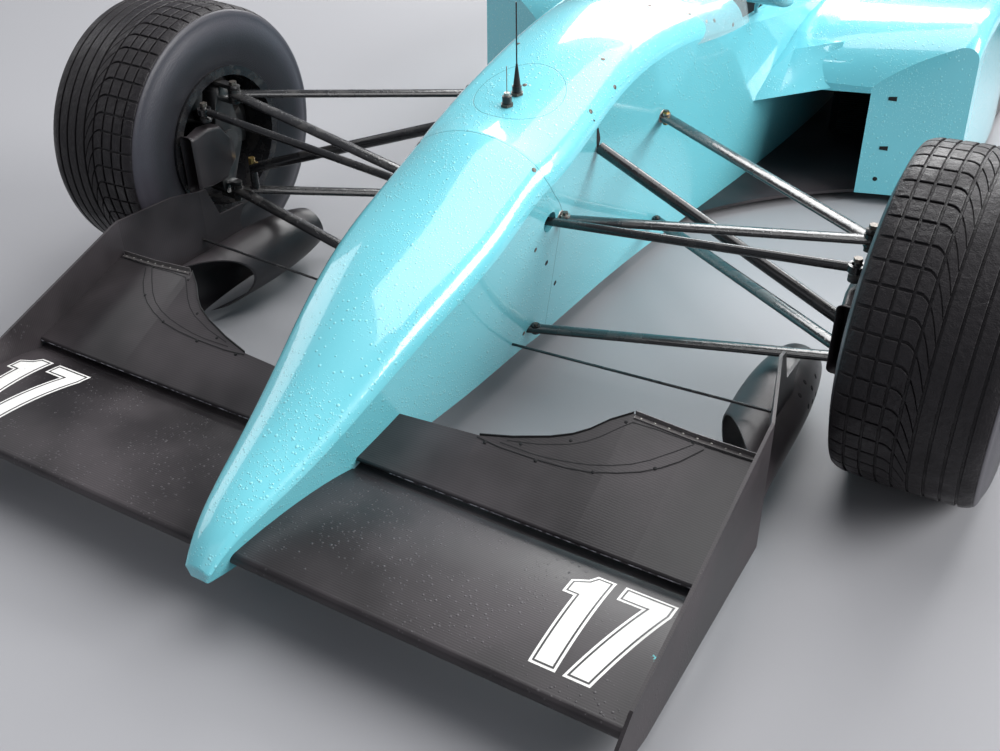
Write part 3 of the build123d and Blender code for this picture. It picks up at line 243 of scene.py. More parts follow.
def give(material, *nodes):
    """CAD nodes take a finish in all their slots."""
    for node in nodes:
        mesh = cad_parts[node].data
        if not mesh.materials:
            mesh.materials.append(material)
        for index in range(len(mesh.materials)):
            mesh.materials[index] = material


give(paint, "nose_cone", "monocoque", "sidepod_left", "sidepod_right", "engine_cover", "mirrors")


def speckled(name, scale, detail, dark, light, grain, height, **constants):
    """A finish whose colour wanders between two tones, with a fine grain as its bump."""
    material, spot = start_finish(name)
    shade = blend_colour(noise(spot, scale, detail), (*dark, 1), (*light, 1))
    constants = {title.replace("_", " ").title(): value for title, value in constants.items()}
    end_finish(spot, shade, constants, noise(spot, grain), height)
    return material


def new_tree(name, output, inputs):
    """A Geometry Nodes tree with named inputs, and a field for each of them."""
    tree = bpy.data.node_groups.new(name, "GeometryNodeTree")
    for title, kind in inputs:
        tree.interface.new_socket(title, in_out="INPUT", socket_type="NodeSocket" + kind)
    tree.interface.new_socket(output, in_out="OUTPUT", socket_type="NodeSocketGeometry")
    given = tree.nodes.new("NodeGroupInput")
    return tree, [Field(tree, given.outputs[i]) for i in range(len(inputs))]


def end_tree(result):
    """Ends a tree in its output."""
    out = result.tree.nodes.new("NodeGroupOutput")
    result.tree.links.new(result.socket, out.inputs[0])


def end_copies(places, sockets, finish):
    """Ends a tree in real copies of one shape, one on each of its places, in one finish."""
    copies = places.node("GeometryNodeInstanceOnPoints", {}, {"Points": places, **sockets})
    copies = places.node("GeometryNodeRealizeInstances", {}, {0: copies})
    end_tree(places.node("GeometryNodeSetMaterial", {}, {"Geometry": copies, "Material": finish}))


def made_plain(obj):
    """The evaluated result of an object's modifiers as its own plain mesh."""
    bpy.context.view_layer.update()
    result = bpy.data.meshes.new_from_object(obj.evaluated_get(bpy.context.evaluated_depsgraph_get()))
    obj.modifiers.clear()
    obj.data = result
    return obj


def grown(name, mesh, tree, values):
    """An object whose mesh a Geometry Nodes tree has worked into its final one."""
    obj = placed(name, mesh)
    modifier = obj.modifiers.new(name, "NODES")
    modifier.node_group = tree
    for item in tree.interface.items_tree:
        if item.item_type == "SOCKET" and item.name in values:
            modifier[item.identifier] = values[item.name]
    return made_plain(obj)


def points_mesh(name, places):
    mesh = bpy.data.meshes.new(name)
    mesh.from_pydata([tuple(place) for place in places], [], [])
    return mesh


dome_tree, (dome_places, dome_cap, dome_proud, dome_finish) = new_tree("domes", "Domes", (
    ("Places", "Geometry"), ("Cap", "Float"), ("Proud", "Float"), ("Finish", "Material")))
ball = dome_places.node("GeometryNodeMeshIcoSphere", {}, {"Radius": 1.0, "Subdivisions": 3})
flat = dome_cap.node("ShaderNodeCombineXYZ", {}, {0: dome_cap, 1: dome_cap, 2: dome_proud})
outward = dome_places.node("GeometryNodeInputNamedAttribute", {"data_type": "FLOAT_VECTOR"},
                           {"Name": "outward"})
lean = outward.node("FunctionNodeAlignRotationToVector", {"axis": "Z"}, {"Vector": outward})
end_copies(dome_places, {"Instance": ball, "Rotation": lean, "Scale": flat}, dome_finish)


def surface_of(node):
    """A search tree of a CAD node's faces."""
    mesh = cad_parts[node].data
    return BVHTree.FromPolygons([v.co for v in mesh.vertices], [p.vertices for p in mesh.polygons])


def add_domes(name, surface, places, size, finish):
    """Low round heads of one radius and height, on the surface nearest to each place."""
    met = [surface.find_nearest(Vector(place)) for place in places]
    mesh = points_mesh(name, [m[0] for m in met])
    normals = mesh.attributes.new("outward", "FLOAT_VECTOR", "POINT")
    normals.data.foreach_set("vector", [c for m in met for c in m[1]])
    heads = grown(name, mesh, dome_tree, {"Cap": size[0], "Proud": size[1], "Finish": finish})
    heads.data.shade_smooth()
    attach(heads, "chassis")


def strip(tool, rows, outward, slot=0):
    """Faces between rows of points, all of them turned to one side."""
    for (a, b), (c, d) in zip(rows, rows[1:]):
        face = tool.faces.new((a, c, d, b))
        face.normal_update()
        if face.normal.dot(outward) < 0:
            face.normal_flip()
        face.material_index = slot


def merged_copy(node):
    """A copy of a CAD node's mesh, and a mesh tool that holds it with its shared corners merged."""
    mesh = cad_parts[node].data.copy()
    tool = bmesh.new()
    tool.from_mesh(mesh)
    bmesh.ops.remove_doubles(tool, verts=tool.verts, dist=0.00001)
    return mesh, tool


def finished(name, tool, materials, body="chassis"):
    """A drawn mesh as an object that rides on a body."""
    mesh = bpy.data.meshes.new(name)
    tool.to_mesh(mesh)
    tool.free()
    for material in materials:
        mesh.materials.append(material)
    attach(placed(name, mesh), body)


def both_sides(places):
    """Places given for the driver's left, on both sides of the car."""
    return [by_axle(*place, side) for place in places for side in (1, -1)]


zinc = speckled("zinc_plate", 300.0, 3.0, (0.30, 0.29, 0.27), (0.52, 0.50, 0.46), 900.0, 0.0001,
                metallic=0.85, roughness=0.38)
dull_steel = speckled("dull_steel", 250.0, 3.0, (0.05, 0.042, 0.036), (0.20, 0.18, 0.16), 900.0, 0.0001,
                      metallic=0.7, roughness=0.42)
# Flat black: the own colour of small black parts, and painted shade where it fills holes, slots and louvre
# openings.
black_and_hole_shade, spot = start_finish("black_and_painted_hole_shade")
end_finish(spot, (0.004, 0.004, 0.005, 1), {"Roughness": 0.8})

tub = surface_of("monocoque")
nose = surface_of("nose_cone")
# X, distance behind the front axle and height of each head on the driver's left
TUB_FASTENERS = ((0.152, 0.179, 0.568), (0.149, 0.074, 0.551), (0.104, 0.218, 0.608), (0.081, 0.504, 0.640),
                 (0.155, 0.566, 0.615), (0.195, 0.640, 0.585), (0.225, 0.719, 0.553))
NOSE_FASTENERS = ((0.137, -0.140, 0.508), (0.150, -0.142, 0.330), (0.118, -0.142, 0.120))
NOSE_SLOTS = ((0.134, -0.085, 0.272), (0.124, -0.026, 0.190))
HATCH_FASTENER = by_axle(0, 0.064, 0.584)
# radius of each head, and how far it stands out
FASTENER_SIZE = (0.0052, 0.0010)
NOSE_SLOT_SIZE = (0.0060, 0.0006)
add_domes("tub_fasteners", tub, both_sides(TUB_FASTENERS) + [HATCH_FASTENER], FASTENER_SIZE, dull_steel)
add_domes("nose_fasteners", nose, both_sides(NOSE_FASTENERS), FASTENER_SIZE, dull_steel)
# The nose slots are black domes on the tub: painted shade of the slots.
add_domes("nose_slots", tub, both_sides(NOSE_SLOTS), NOSE_SLOT_SIZE, black_and_hole_shade)
POD_FACE = 1.045
POD_HOLE = (0.541, POD_FACE, 0.078)
POD_HOLE_SIZE = (0.0065, 0.0008)
LOUVRE_X = 0.549
LOUVRE_HEIGHTS = (0.308, 0.169)
LOUVRE_HALF_WIDTH = 0.011
LOUVRE_HALF_HEIGHT = 0.0065
LOUVRE_TAPER = 0.7
FILM_LIFT = 0.0008
SIDES = ((1, "left"), (-1, "right"))
# Each pod's hole and louvres are black domes and films on its face: painted shade of the openings.
for side, name in SIDES:
    pod = surface_of("sidepod_" + name)
    add_domes("pod_fastener_sidepod_" + name, pod, [by_axle(*POD_HOLE, side)], POD_HOLE_SIZE, black_and_hole_shade)
    tool = bmesh.new()
    for level in LOUVRE_HEIGHTS:
        middle, outward = pod.find_nearest(by_axle(LOUVRE_X, POD_FACE, level, side))[:2]
        wide = outward.cross(Vector((0, 0, 1))).normalized() * LOUVRE_HALF_WIDTH
        tall = wide.cross(outward).normalized() * LOUVRE_HALF_HEIGHT
        lifted = middle + outward * FILM_LIFT
        rows = [[tool.verts.new(lifted + wide * end + tall * high) for high in (-reach, reach)]
                for end, reach in ((-1, 1), (1, LOUVRE_TAPER))]
        strip(tool, rows, outward)
    finished("pod_louvres_sidepod_" + name, tool, (black_and_hole_shade,))

# Wings, floor and diffuser: moulded carbon with its fine weave lines lying across the car, bare
# of paint, grey with road film and spotted with rain. A doubler of the same cloth is riveted
# along each flap's cut-away rear edge, and a folded strip is bolted to what is left of it.
WEAVE_PITCH = 0.0042
BEADS_END = (FRONT_AXLE_Y - 0.72, FRONT_AXLE_Y - 0.70)
PAINT_SMEAR = by_axle(0.735, -0.853, 0.155)
carbon, spot = start_finish("bare_carbon")
back = parts_of(spot)[1]
weave = ridges(back, WEAVE_PITCH)
beads = rain_beads(spot, 0.0075, 0.34) * (1 - ease(back, *BEADS_END))
beads = beads * ease(noise(spot, 9.0, 3.0), 0.42, 0.60)
film = ease(noise(spot, 4.0, 3.0), 0.30, 0.72)
shade = blend_colour(film, (0.012, 0.010, 0.0112, 1), (0.052, 0.044, 0.048, 1))
shade = blend_colour(ease(weave, 0.2, 0.9) * 0.30, shade, (0.010, 0.009, 0.010, 1))
# Painted highlight: the carbon is drawn paler on the rain beads, standing in for their glints.
shade = blend_colour(ease(beads, 0.0, 0.4) * 0.30, shade, (0.090, 0.085, 0.092, 1))
smear = ease(noise(spot, 300.0, 3.0), 0.45, 0.55) * (1 - ease(near(spot, PAINT_SMEAR), 0.004, 0.009))
shade = blend_colour(smear, shade, (0.10, 0.55, 0.58, 1))
end_finish(spot, shade, {"Roughness": film * 0.16 + 0.34, "Specular IOR Level": 0.42},
           weave * 0.05 + beads, 0.0006)
give(carbon, "front_mainplane", "front_flaps", "front_endplates", "floor", "diffuser",
     "rear_wing_endplates", "rear_wing_planes", "rear_beam_wing")
# Painted highlight: a pale strip, patchy by noise, along each flap's rounded front edge where it catches the
# light.
painted_highlight_edge, spot = start_finish("painted_highlight_edge")
highlight_patches = ease(noise(spot, 60.0, 3.0), 0.42, 0.62)
shade = blend_colour(highlight_patches, (0.05, 0.045, 0.05, 1), (0.42, 0.42, 0.46, 1))
end_finish(spot, shade, {"Roughness": 0.25})
strip_edge = speckled("strip_edge", 200.0, 3.0, (0.05, 0.045, 0.045), (0.15, 0.14, 0.14), 600.0, 0.0002,
                      roughness=0.4)


ABOVE_CAR = 2.0


def height_on(surface):
    """A function that finds the top of a surface at X and Y, from above the car."""
    return lambda x, y: surface.ray_cast(Vector((x, y, ABOVE_CAR)), Vector((0, 0, -1)))[0]


def lay_film(tool, top, outline, hole, lift, slot, step=(0.0, 0.009)):
    """A flat shape, or the ring round a hole in it, sliced finely and laid on a surface."""
    outer = [tool.verts.new((x, FRONT_AXLE_Y + y, 0)) for x, y in outline]
    if hole:
        inner = [tool.verts.new((x, FRONT_AXLE_Y + y, 0)) for x, y in hole]
        count = len(outer)
        made = [tool.faces.new((outer[i], outer[(i + 1) % count], inner[(i + 1) % count], inner[i]))
                for i in range(count)]
    else:
        made = [tool.faces.new(outer)]
    edges = [e for f in made for e in f.edges]
    pieces = list(dict.fromkeys(made + edges + [v for f in made for v in f.verts]))
    for axis in (0, 1):
        if not step[axis]:
            continue
        low = min(v.co[axis] for v in outer)
        high = max(v.co[axis] for v in outer)
        normal = Vector((1 - axis, axis, 0))
        for i in range(1, int((high - low) / step[axis]) + 1):
            cut = bmesh.ops.bisect_plane(tool, geom=pieces, plane_co=normal * (low + i * step[axis]),
                                         plane_no=normal)
            pieces = [g for g in cut["geom"] if g.is_valid]
    for piece in pieces:
        if isinstance(piece, bmesh.types.BMVert):
            piece.co.z = top(piece.co.x, piece.co.y).z + lift
        if isinstance(piece, bmesh.types.BMFace):
            piece.material_index = slot
            if piece.normal.z < 0:
                piece.normal_flip()


def shrunk(outline, amount):
    """A polygon, counter-clockwise, with each side moved inwards."""
    count = len(outline)
    result = []
    for i in range(count):
        before, here, after = (Vector(outline[i - 1]), Vector(outline[i]), Vector(outline[(i + 1) % count]))
        first, second = (here - before).normalized(), (after - here).normalized()
        inner = Vector((-first.y, first.x)) + Vector((-second.y, second.x))
        result.append(tuple(here + inner * (amount * 2 / inner.length_squared)))
    return result


flaps = surface_of("front_flaps")
flap_top = height_on(flaps)
# X and distance behind the front axle, along the flap's cut-away rear edge and the doubler's seams
CUT_AWAY = ((0.271, -0.583), (0.330, -0.568), (0.392, -0.546), (0.428, -0.529), (0.452, -0.511),
            (0.477, -0.485), (0.510, -0.460))
OUTER_SEAM = ((0.268, -0.588), (0.318, -0.592), (0.396, -0.590), (0.444, -0.587), (0.491, -0.580),
              (0.530, -0.566), (0.565, -0.548), (0.593, -0.528), (0.617, -0.504), (0.644, -0.466))
INNER_SEAM = ((0.313, -0.584), (0.374, -0.584), (0.412, -0.581), (0.447, -0.576), (0.482, -0.569),
              (0.514, -0.559), (0.545, -0.543), (0.571, -0.523), (0.600, -0.494), (0.626, -0.465))
REAR_SEAM = ((0.323, -0.577), (0.382, -0.564), (0.432, -0.547), (0.455, -0.534), (0.475, -0.518),
             (0.496, -0.496), (0.516, -0.476), (0.564, -0.469), (0.617, -0.464), (0.670, -0.456),
             (0.730, -0.447))
FLAP_RIVETS = ((0.287, -0.592), (0.389, -0.592), (0.492, -0.578), (0.585, -0.532), (0.430, -0.540),
               (0.350, -0.574), (0.622, -0.462), (0.505, -0.479))
SEAM_WIDTH = 0.0016
SEAM_LIFT = 0.0012
EDGE_INSET = 0.0015
DOUBLER_STEPS = (0.02, 0.009)
RIVET_SIZE = (0.0036, 0.0022)
DOUBLER_REAR_EDGE = ((0.644, -0.450), (0.618, -0.4535), (0.510, -0.4615))


def band_along(tool, top, way, width, lift, slot):
    """A narrow strip laid on a surface along a way, as quads that share their ends."""
    middle = [Vector((x, FRONT_AXLE_Y + y, 0)) for x, y in way]
    rows = []
    for i, here in enumerate(middle):
        along_way = (middle[min(i + 1, len(middle) - 1)] - middle[max(i - 1, 0)]).normalized()
        across = Vector((-along_way.y, along_way.x, 0)) * (width / 2)
        rows.append([tool.verts.new(top(p.x, p.y) + Vector((0, 0, lift)))
                     for p in (here - across, here + across)])
    strip(tool, rows, Vector((0, 0, 1)), slot)


def finer(way, steps):
    """A way with each of its stretches cut into equal steps."""
    result = [way[0]]
    for (ax, ay), (bx, by) in zip(way, way[1:]):
        result += [(ax + (bx - ax) * k / steps, ay + (by - ay) * k / steps) for k in range(1, steps + 1)]
    return result


tool = bmesh.new()
rivets = []
for side in (1, -1):
    doubler = list(OUTER_SEAM) + list(DOUBLER_REAR_EDGE) + [(x, y - EDGE_INSET) for x, y in CUT_AWAY[-2::-1]]
    outline = [(x * side, y) for x, y in doubler]
    lay_film(tool, flap_top, outline, None, FILM_LIFT, 0, DOUBLER_STEPS)
    for seam_way in (OUTER_SEAM, INNER_SEAM, REAR_SEAM):
        band_along(tool, flap_top, finer([(x * side, y) for x, y in seam_way], 3), SEAM_WIDTH, SEAM_LIFT, 1)
    rivets += [flap_top(side * x, FRONT_AXLE_Y + y) for x, y in FLAP_RIVETS]
finished("flap_doublers", tool, (carbon, black_and_hole_shade))
add_domes("flap_rivets", flaps, rivets, RIVET_SIZE, black_and_hole_shade)


def along_edge(side, way, inset, lift):
    """Places along a way at the flap's edge, each lifted from the flap's top a little ahead of it."""
    return [by_axle(x, y, flap_top(side * x, FRONT_AXLE_Y + y - inset).z + lift, side) for x, y in way]


def joined(tool, rings):
    """Faces between rings of the same count, the first and last ring closed."""
    made = [tool.faces.new(rings[0]), tool.faces.new(rings[-1])]
    for a, b in zip(rings, rings[1:]):
        count = len(a)
        made += [tool.faces.new((a[i], a[(i + 1) % count], b[(i + 1) % count], b[i])) for i in range(count)]
    bmesh.ops.recalc_face_normals(tool, faces=made)
    return made


def swept(tool, path, section, slot):
    """A closed section, given in Y and Z, carried along a path."""
    for face in joined(tool, [[tool.verts.new(p + Vector((0, y, z))) for y, z in section] for p in path]):
        face.material_index = slot


# X and distance behind the front axle of the straight part of the flap's rear edge
STRIP_WAY = ((0.514, -0.4597), (0.566, -0.4558), (0.618, -0.4520), (0.678, -0.4435), (0.738, -0.4349))
STRIP_INSET = 0.006
STRIP_LIFT = 0.001
# the first and the last of its bolts
STRIP_BOLTS = ((0.526, -0.4587), (0.726, -0.4362))
BOLT_GAPS = 8
BOLT_LIFT = Vector((0, 0, 0.0014))
BOLT_SIZE = (0.0026, 0.0034)
STRIP_SECTION = ((0.0, -0.003), (0.0, 0.010), (-0.0014, 0.010), (-0.0014, 0.0014), (-0.010, 0.0014),
                 (-0.010, -0.003))
LIP_SECTION = ((0.0012, -0.006), (0.0012, 0.0055), (-0.0008, 0.0055), (-0.0008, -0.006))
# the mainplane's thin trailing lip, which reaches back under the flap, and a painted highlight strip on the
# flap's front edge
SLOT_ENDS = (0.150, 0.350, 0.550, 0.741)
NOSE_SIDE = 0.075
LIP_INSET = 0.004
SLOT_PLACE = (-0.703, 0.1335)
EDGE_PLACE = (-0.6945, 0.1512)
SLOT_SECTION = ((-0.004, -0.0014), (0.034, 0.0036), (0.034, 0.0050), (-0.004, 0.0012))
EDGE_SECTION = ((-0.0008, -0.0006), (0.0004, -0.0010), (0.0006, 0.0004), (-0.0004, 0.0008))
tool = bmesh.new()
bolts = []
for side in (1, -1):
    swept(tool, along_edge(side, STRIP_WAY, STRIP_INSET, STRIP_LIFT), STRIP_SECTION, 1)
    swept(tool, along_edge(side, finer(CUT_AWAY, 2), LIP_INSET, 0), LIP_SECTION, 2)
    swept(tool, [by_axle(x, *SLOT_PLACE, side) for x in (NOSE_SIDE,) + SLOT_ENDS], SLOT_SECTION, 0)
    swept(tool, [by_axle(x, *EDGE_PLACE, side) for x in SLOT_ENDS], EDGE_SECTION, 3)
    bolts += [flap_top(side * x, FRONT_AXLE_Y + y - STRIP_INSET) + BOLT_LIFT
              for x, y in finer(STRIP_BOLTS, BOLT_GAPS)]
finished("flap_edge_strips", tool, (carbon, strip_edge, black_and_hole_shade, painted_highlight_edge))
add_domes("strip_bolts", flaps, bolts, BOLT_SIZE, zinc)

plates = surface_of("front_endplates")
TUNNEL_HOLE_SIZE = (0.0055, 0.0006)
TUNNEL_HOLES = ((0.720, -0.090, 0.113), (0.716, -0.027, 0.101), (0.705, -0.004, 0.127),
                (0.699, -0.061, 0.146), (0.711, -0.047, 0.127), (0.704, -0.107, 0.145),
                (0.719, -0.058, 0.104))
# The tunnel's holes are black domes on the endplate: painted shade of the holes.
add_domes("tunnel_holes", plates, both_sides(TUNNEL_HOLES), TUNNEL_HOLE_SIZE, black_and_hole_shade)

# Suspension: flattened steel tubes in black stoving enamel, dulled by grime and wet with drops.
# Each leg ends at the tub in a spherical joint, held by a bolt through a bracket.
enamel, spot = start_finish("black_enamel")
beads = rain_beads(spot, 0.008, 0.32)
grime = ease(noise(spot, 18.0, 3.0), 0.45, 0.75)
shade = blend_colour(grime, (0.009, 0.009, 0.010, 1), (0.028, 0.026, 0.025, 1))
end_finish(spot, shade, {"Roughness": grime * 0.14 + 0.24, "Coat Weight": 0.35, "Coat Roughness": 0.12},
           beads, 0.0008)
give(enamel, "front_wishbones", "front_pushrods", "steering_rack", "rear_wishbones", "rear_links",
     "front_wing_stays")
brass = speckled("brass", 120.0, 3.0, (0.30, 0.19, 0.06), (0.62, 0.43, 0.16), 700.0, 0.0002,
                 metallic=0.9, roughness=0.35)

peg_tree, (peg_places, peg_sides, peg_radius, peg_height, peg_finish) = new_tree("pegs", "Pegs", (
    ("Places", "Geometry"), ("Sides", "Int"), ("Radius", "Float"), ("Height", "Float"),
    ("Finish", "Material")))
peg = peg_places.node("GeometryNodeMeshCylinder", {},
                      {"Vertices": peg_sides, "Radius": peg_radius, "Depth": peg_height})
end_copies(peg_places, {"Instance": peg}, peg_finish)


def add_pegs(name, places, size, finish, body="chassis"):
    """Upright cylinders, of the given sides, radius and height, each with its middle on a place."""
    values = dict(zip(("Sides", "Radius", "Height"), size), Finish=finish)
    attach(grown(name, points_mesh(name, places), peg_tree, values), body)


# points along the slot that each pushrod goes in by, and the half width of the slot there
PUSHROD_SLOT = (((0.148, 0.064, 0.556), 0.0006), ((0.155, 0.072, 0.532), 0.0020),
                ((0.158, 0.084, 0.512), 0.0045), ((0.157, 0.094, 0.492), 0.0080),
                ((0.154, 0.100, 0.478), 0.0095), ((0.150, 0.103, 0.462), 0.0040))
SLOT_LIFT = 0.0006
# Each slot is a black film on the tub: painted shade of the opening.
tool = bmesh.new()
for side in (1, -1):
    rows = []
    for place, half_width in PUSHROD_SLOT:
        met, normal = tub.find_nearest(by_axle(*place, side))[:2]
        across = Vector((0, 1, 0)) - normal * normal.y
        across.normalize()
        lifted = met + normal * SLOT_LIFT
        rows.append([tool.verts.new(lifted + across * reach) for reach in (-half_width, half_width)])
    strip(tool, rows, Vector((side, 0, 0)))
finished("pushrod_slots", tool, (black_and_hole_shade,))

# outer end and inner end of each leg on the driver's left
LEG_WAYS = (
    ((0.762, 0.002, 0.447), (0.140, -0.054, 0.362)),
    ((0.762, 0.002, 0.447), (0.150, 0.454, 0.406)),
    ((0.778, -0.023, 0.205), (0.095, -0.117, 0.118)),
    ((0.778, -0.023, 0.205), (0.110, 0.516, 0.104)),
)
JOINT_REACH = 0.012
joints = []
for outer, inner in LEG_WAYS:
    for side in (1, -1):
        start = by_axle(*outer, side)
        way = (by_axle(*inner, side) - start).normalized()
        met = [hit for hit in (tub.ray_cast(start, way)[0], nose.ray_cast(start, way)[0]) if hit]
        place = min(met, key=lambda p: (p - start).length)
        joints.append(place - way * JOINT_REACH)
BRACKET_SIZE = (0.0165, 0.0030)
upper_joints, lower_joints = joints[:4], joints[4:]
add_domes("leg_brackets", tub, upper_joints, BRACKET_SIZE, zinc)
add_pegs("upper_leg_joints", upper_joints, (20, 0.0105, 0.022), zinc)
add_pegs("upper_leg_bolts", upper_joints, (6, 0.0065, 0.034), dull_steel)
add_pegs("rear_leg_nuts", upper_joints[2:], (6, 0.0080, 0.030), brass)
add_pegs("lower_leg_joints", lower_joints, (20, 0.0095, 0.020), enamel)
add_pegs("lower_leg_bolts", lower_joints, (6, 0.0050, 0.026), dull_steel)

# Front uprights: cast plates painted black, each with a thin-walled carbon scoop on its front
# face that takes air to the brake disc, and turns with the wheel as it is steered.
black_cast, spot = start_finish("black_casting")
dust = ease(noise(spot, 22.0, 4.0), 0.45, 0.75)
shade = blend_colour(dust, (0.012, 0.012, 0.013, 1), (0.040, 0.037, 0.035, 1))
end_finish(spot, shade, {"Roughness": dust * 0.2 + 0.38}, noise(spot, 700.0), 0.0004)
ARM_PAD_MIDDLE = (0.765, -0.100, 0.423)
ARM_PAD_REACH = 0.0142
ARM_PAD_LOW = 0.4165
ARM_PAD_HIGH = 0.4285
ARM_PAD_DROP = 0.0035
SHARP_EDGE = math.radians(35)
for side, name in SIDES:
    # The steering arm's pad stands a little lower, clear of the track rod at full lock.
    mesh, tool = merged_copy("upright_front_" + name)
    pad_middle = by_axle(*ARM_PAD_MIDDLE, side)
    for v in tool.verts:
        if ARM_PAD_LOW < v.co.z < ARM_PAD_HIGH and (v.co - pad_middle).xy.length < ARM_PAD_REACH:
            v.co.z -= ARM_PAD_DROP
    tool.to_mesh(mesh)
    tool.free()
    mesh.shade_smooth()
    mesh.set_sharp_from_angle(angle=SHARP_EDGE)
    mesh.materials.clear()
    mesh.materials.append(black_cast)
    upright = placed("steering_upright_" + name, mesh)
    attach(upright, "knuckle_" + name)
    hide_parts("upright_front_" + name)

# distance behind the axle, inner X, outer X, low and high edge
SCOOP_SECTIONS = (
    (-0.036, 0.752, 0.808, 0.292, 0.352),
    (-0.050, 0.752, 0.806, 0.280, 0.366),
    (-0.072, 0.752, 0.792, 0.258, 0.396),
    (-0.115, 0.756, 0.792, 0.256, 0.402),
    (-0.150, 0.760, 0.792, 0.260, 0.392),
    (-0.166, 0.756, 0.794, 0.254, 0.398),
)
SCOOP_WALL = 0.0022
SCOOP_CORNER = 0.010
CORNER_STEPS = 4


def rounded(inner, outer, low, high, corner, steps):
    """X and height of points round a rectangle with round corners."""
    points = []
    middles = ((outer - corner, high - corner), (inner + corner, high - corner),
               (inner + corner, low + corner), (outer - corner, low + corner))
    for i, (x, z) in enumerate(middles):
        for k in range(steps + 1):
            angle = math.pi / 2 * (i + k / steps)
            points.append((x + corner * math.cos(angle), z + corner * math.sin(angle)))
    return points


def scoop_ring(tool, side, section, inset):
    """One section of a scoop, drawn in by inset on all four sides."""
    back, inner, outer, low, high = section
    outline = rounded(inner + inset, outer - inset, low + inset, high - inset, SCOOP_CORNER - inset,
                      CORNER_STEPS)
    return [tool.verts.new(by_axle(x, back, z, side)) for x, z in outline]


PUSHROD_BOLT = (0.742, 0.006, 0.276)
# name, places on the driver's left, and sides, radius and height
NUTS = (
    ("kingpin_nuts_", ((0.762, 0.002, 0.474), (0.779, -0.023, 0.179)), (6, 0.0095, 0.008)),
    ("track_rod_nut_", ((0.765, -0.100, 0.456),), (6, 0.0085, 0.008)),
)
for side, name in SIDES:
    tool = bmesh.new()
    rings = [scoop_ring(tool, side, section, 0) for section in SCOOP_SECTIONS]
    rings += [scoop_ring(tool, side, section, SCOOP_WALL) for section in SCOOP_SECTIONS[:1:-1]]
    for face in joined(tool, rings):
        face.smooth = len(face.verts) == 4
    finished("brake_scoop_" + name, tool, (carbon,), "knuckle_" + name)
    add_pegs("pushrod_bolt_" + name, [by_axle(*PUSHROD_BOLT, side)], (6, 0.0085, 0.020), brass)
    for part, nuts, size in NUTS:
        add_pegs(part + name, [by_axle(*nut, side) for nut in nuts], size, dull_steel, "knuckle_" + name)

# Rear uprights and gearbox: cast magnesium with the grain of the sand mould, oily in patches.
# The gearbox is bolted to the engine's rear face and carries the rear legs.
casting, spot = start_finish("cast_magnesium")
grain = noise(spot, 900.0, 2.0)
oil = ease(noise(spot, 14.0, 4.0), 0.48, 0.72)
shade = blend_colour(oil, (0.34, 0.325, 0.29, 1), (0.13, 0.115, 0.09, 1))
end_finish(spot, shade, {"Metallic": 0.8, "Roughness": 0.55 - oil * 0.15}, grain, 0.0006)
give(casting, "rear_uprights", "gearbox")

# Engine: one plain block in machined alloy, standing for the whole engine between the tub's
# rear bulkhead and the gearbox.
alloy, spot = start_finish("machined_alloy")
brush = noise(spot.node("ShaderNodeMapping", {}, {"Vector": spot, "Scale": (20.0, 400.0, 20.0)}), 6.0, 3.0)
shade = blend_colour(brush, (0.30, 0.30, 0.31, 1), (0.48, 0.48, 0.49, 1))
end_finish(spot, shade, {"Metallic": 0.9, "Roughness": 0.38}, brush, 0.0003)
give(alloy, "engine_block")

# Exhausts: bare steel pipes welded from bends, straw and blue where the heat has stained them.
# They run back from the engine and open above the diffuser.
pipe_steel, spot = start_finish("heated_steel")
BLUED_STRETCH = (0.75, 1.5)
heat = ease(parts_of(spot)[1], *BLUED_STRETCH)
shade = blend_colour(heat, (0.42, 0.30, 0.20, 1), (0.30, 0.30, 0.36, 1))
shade = blend_colour(ease(noise(spot, 25.0, 4.0), 0.4, 0.7) * 0.5, shade, (0.10, 0.07, 0.05, 1))
end_finish(spot, shade, {"Metallic": 0.9, "Roughness": 0.42}, noise(spot, 500.0), 0.0002)
give(pipe_steel, "exhausts")

# Radiators: rows of thin alloy fins brazed to flat tubes and painted black, one core standing
# in each sidepod's duct.
fins, spot = start_finish("radiator_fins")
FIN_PITCH = 0.006
ridge = ridges(parts_of(spot)[2], FIN_PITCH)
shade = blend_colour(ease(ridge, -0.3, 0.6), (0.006, 0.006, 0.006, 1), (0.05, 0.05, 0.052, 1))
end_finish(spot, shade, {"Metallic": 0.5, "Roughness": 0.5}, ridge, 0.002)
give(fins, "radiators")

# Windscreen: a strip of clear acrylic, blown to shape, and screwed to the cowl along its foot.
# The dark rubber bead under its foot is not drawn.
acrylic, spot = start_finish("clear_acrylic")
beads = rain_beads(spot, 0.006, 0.34)
# Painted sheen: the clear screen is drawn partly opaque in a pale tint, more so on the rain beads, standing
# in for its reflections and the beads' glints.
end_finish(spot, (0.52, 0.62, 0.64, 1),
           {"Roughness": 0.05, "IOR": 1.49, "Alpha": ease(beads, 0.0, 0.4) * 0.15 + 0.22}, beads, 0.0004)
give(acrylic, "windscreen")
tub_top = height_on(tub)
SCREEN_FOOT = ((0.0, 0.464), (0.041, 0.473), (0.081, 0.494), (0.119, 0.524), (0.152, 0.560), (0.182, 0.607),
               (0.203, 0.655), (0.216, 0.702))
SCREW_SIZE = (0.0042, 0.0014)
foot = [(-x, y) for x, y in SCREEN_FOOT[:0:-1]] + list(SCREEN_FOOT)
screws = [tub_top(x, FRONT_AXLE_Y + y) for x, y in foot]
add_domes("screen_screws", tub, [p for p in screws if p], SCREW_SIZE, zinc)

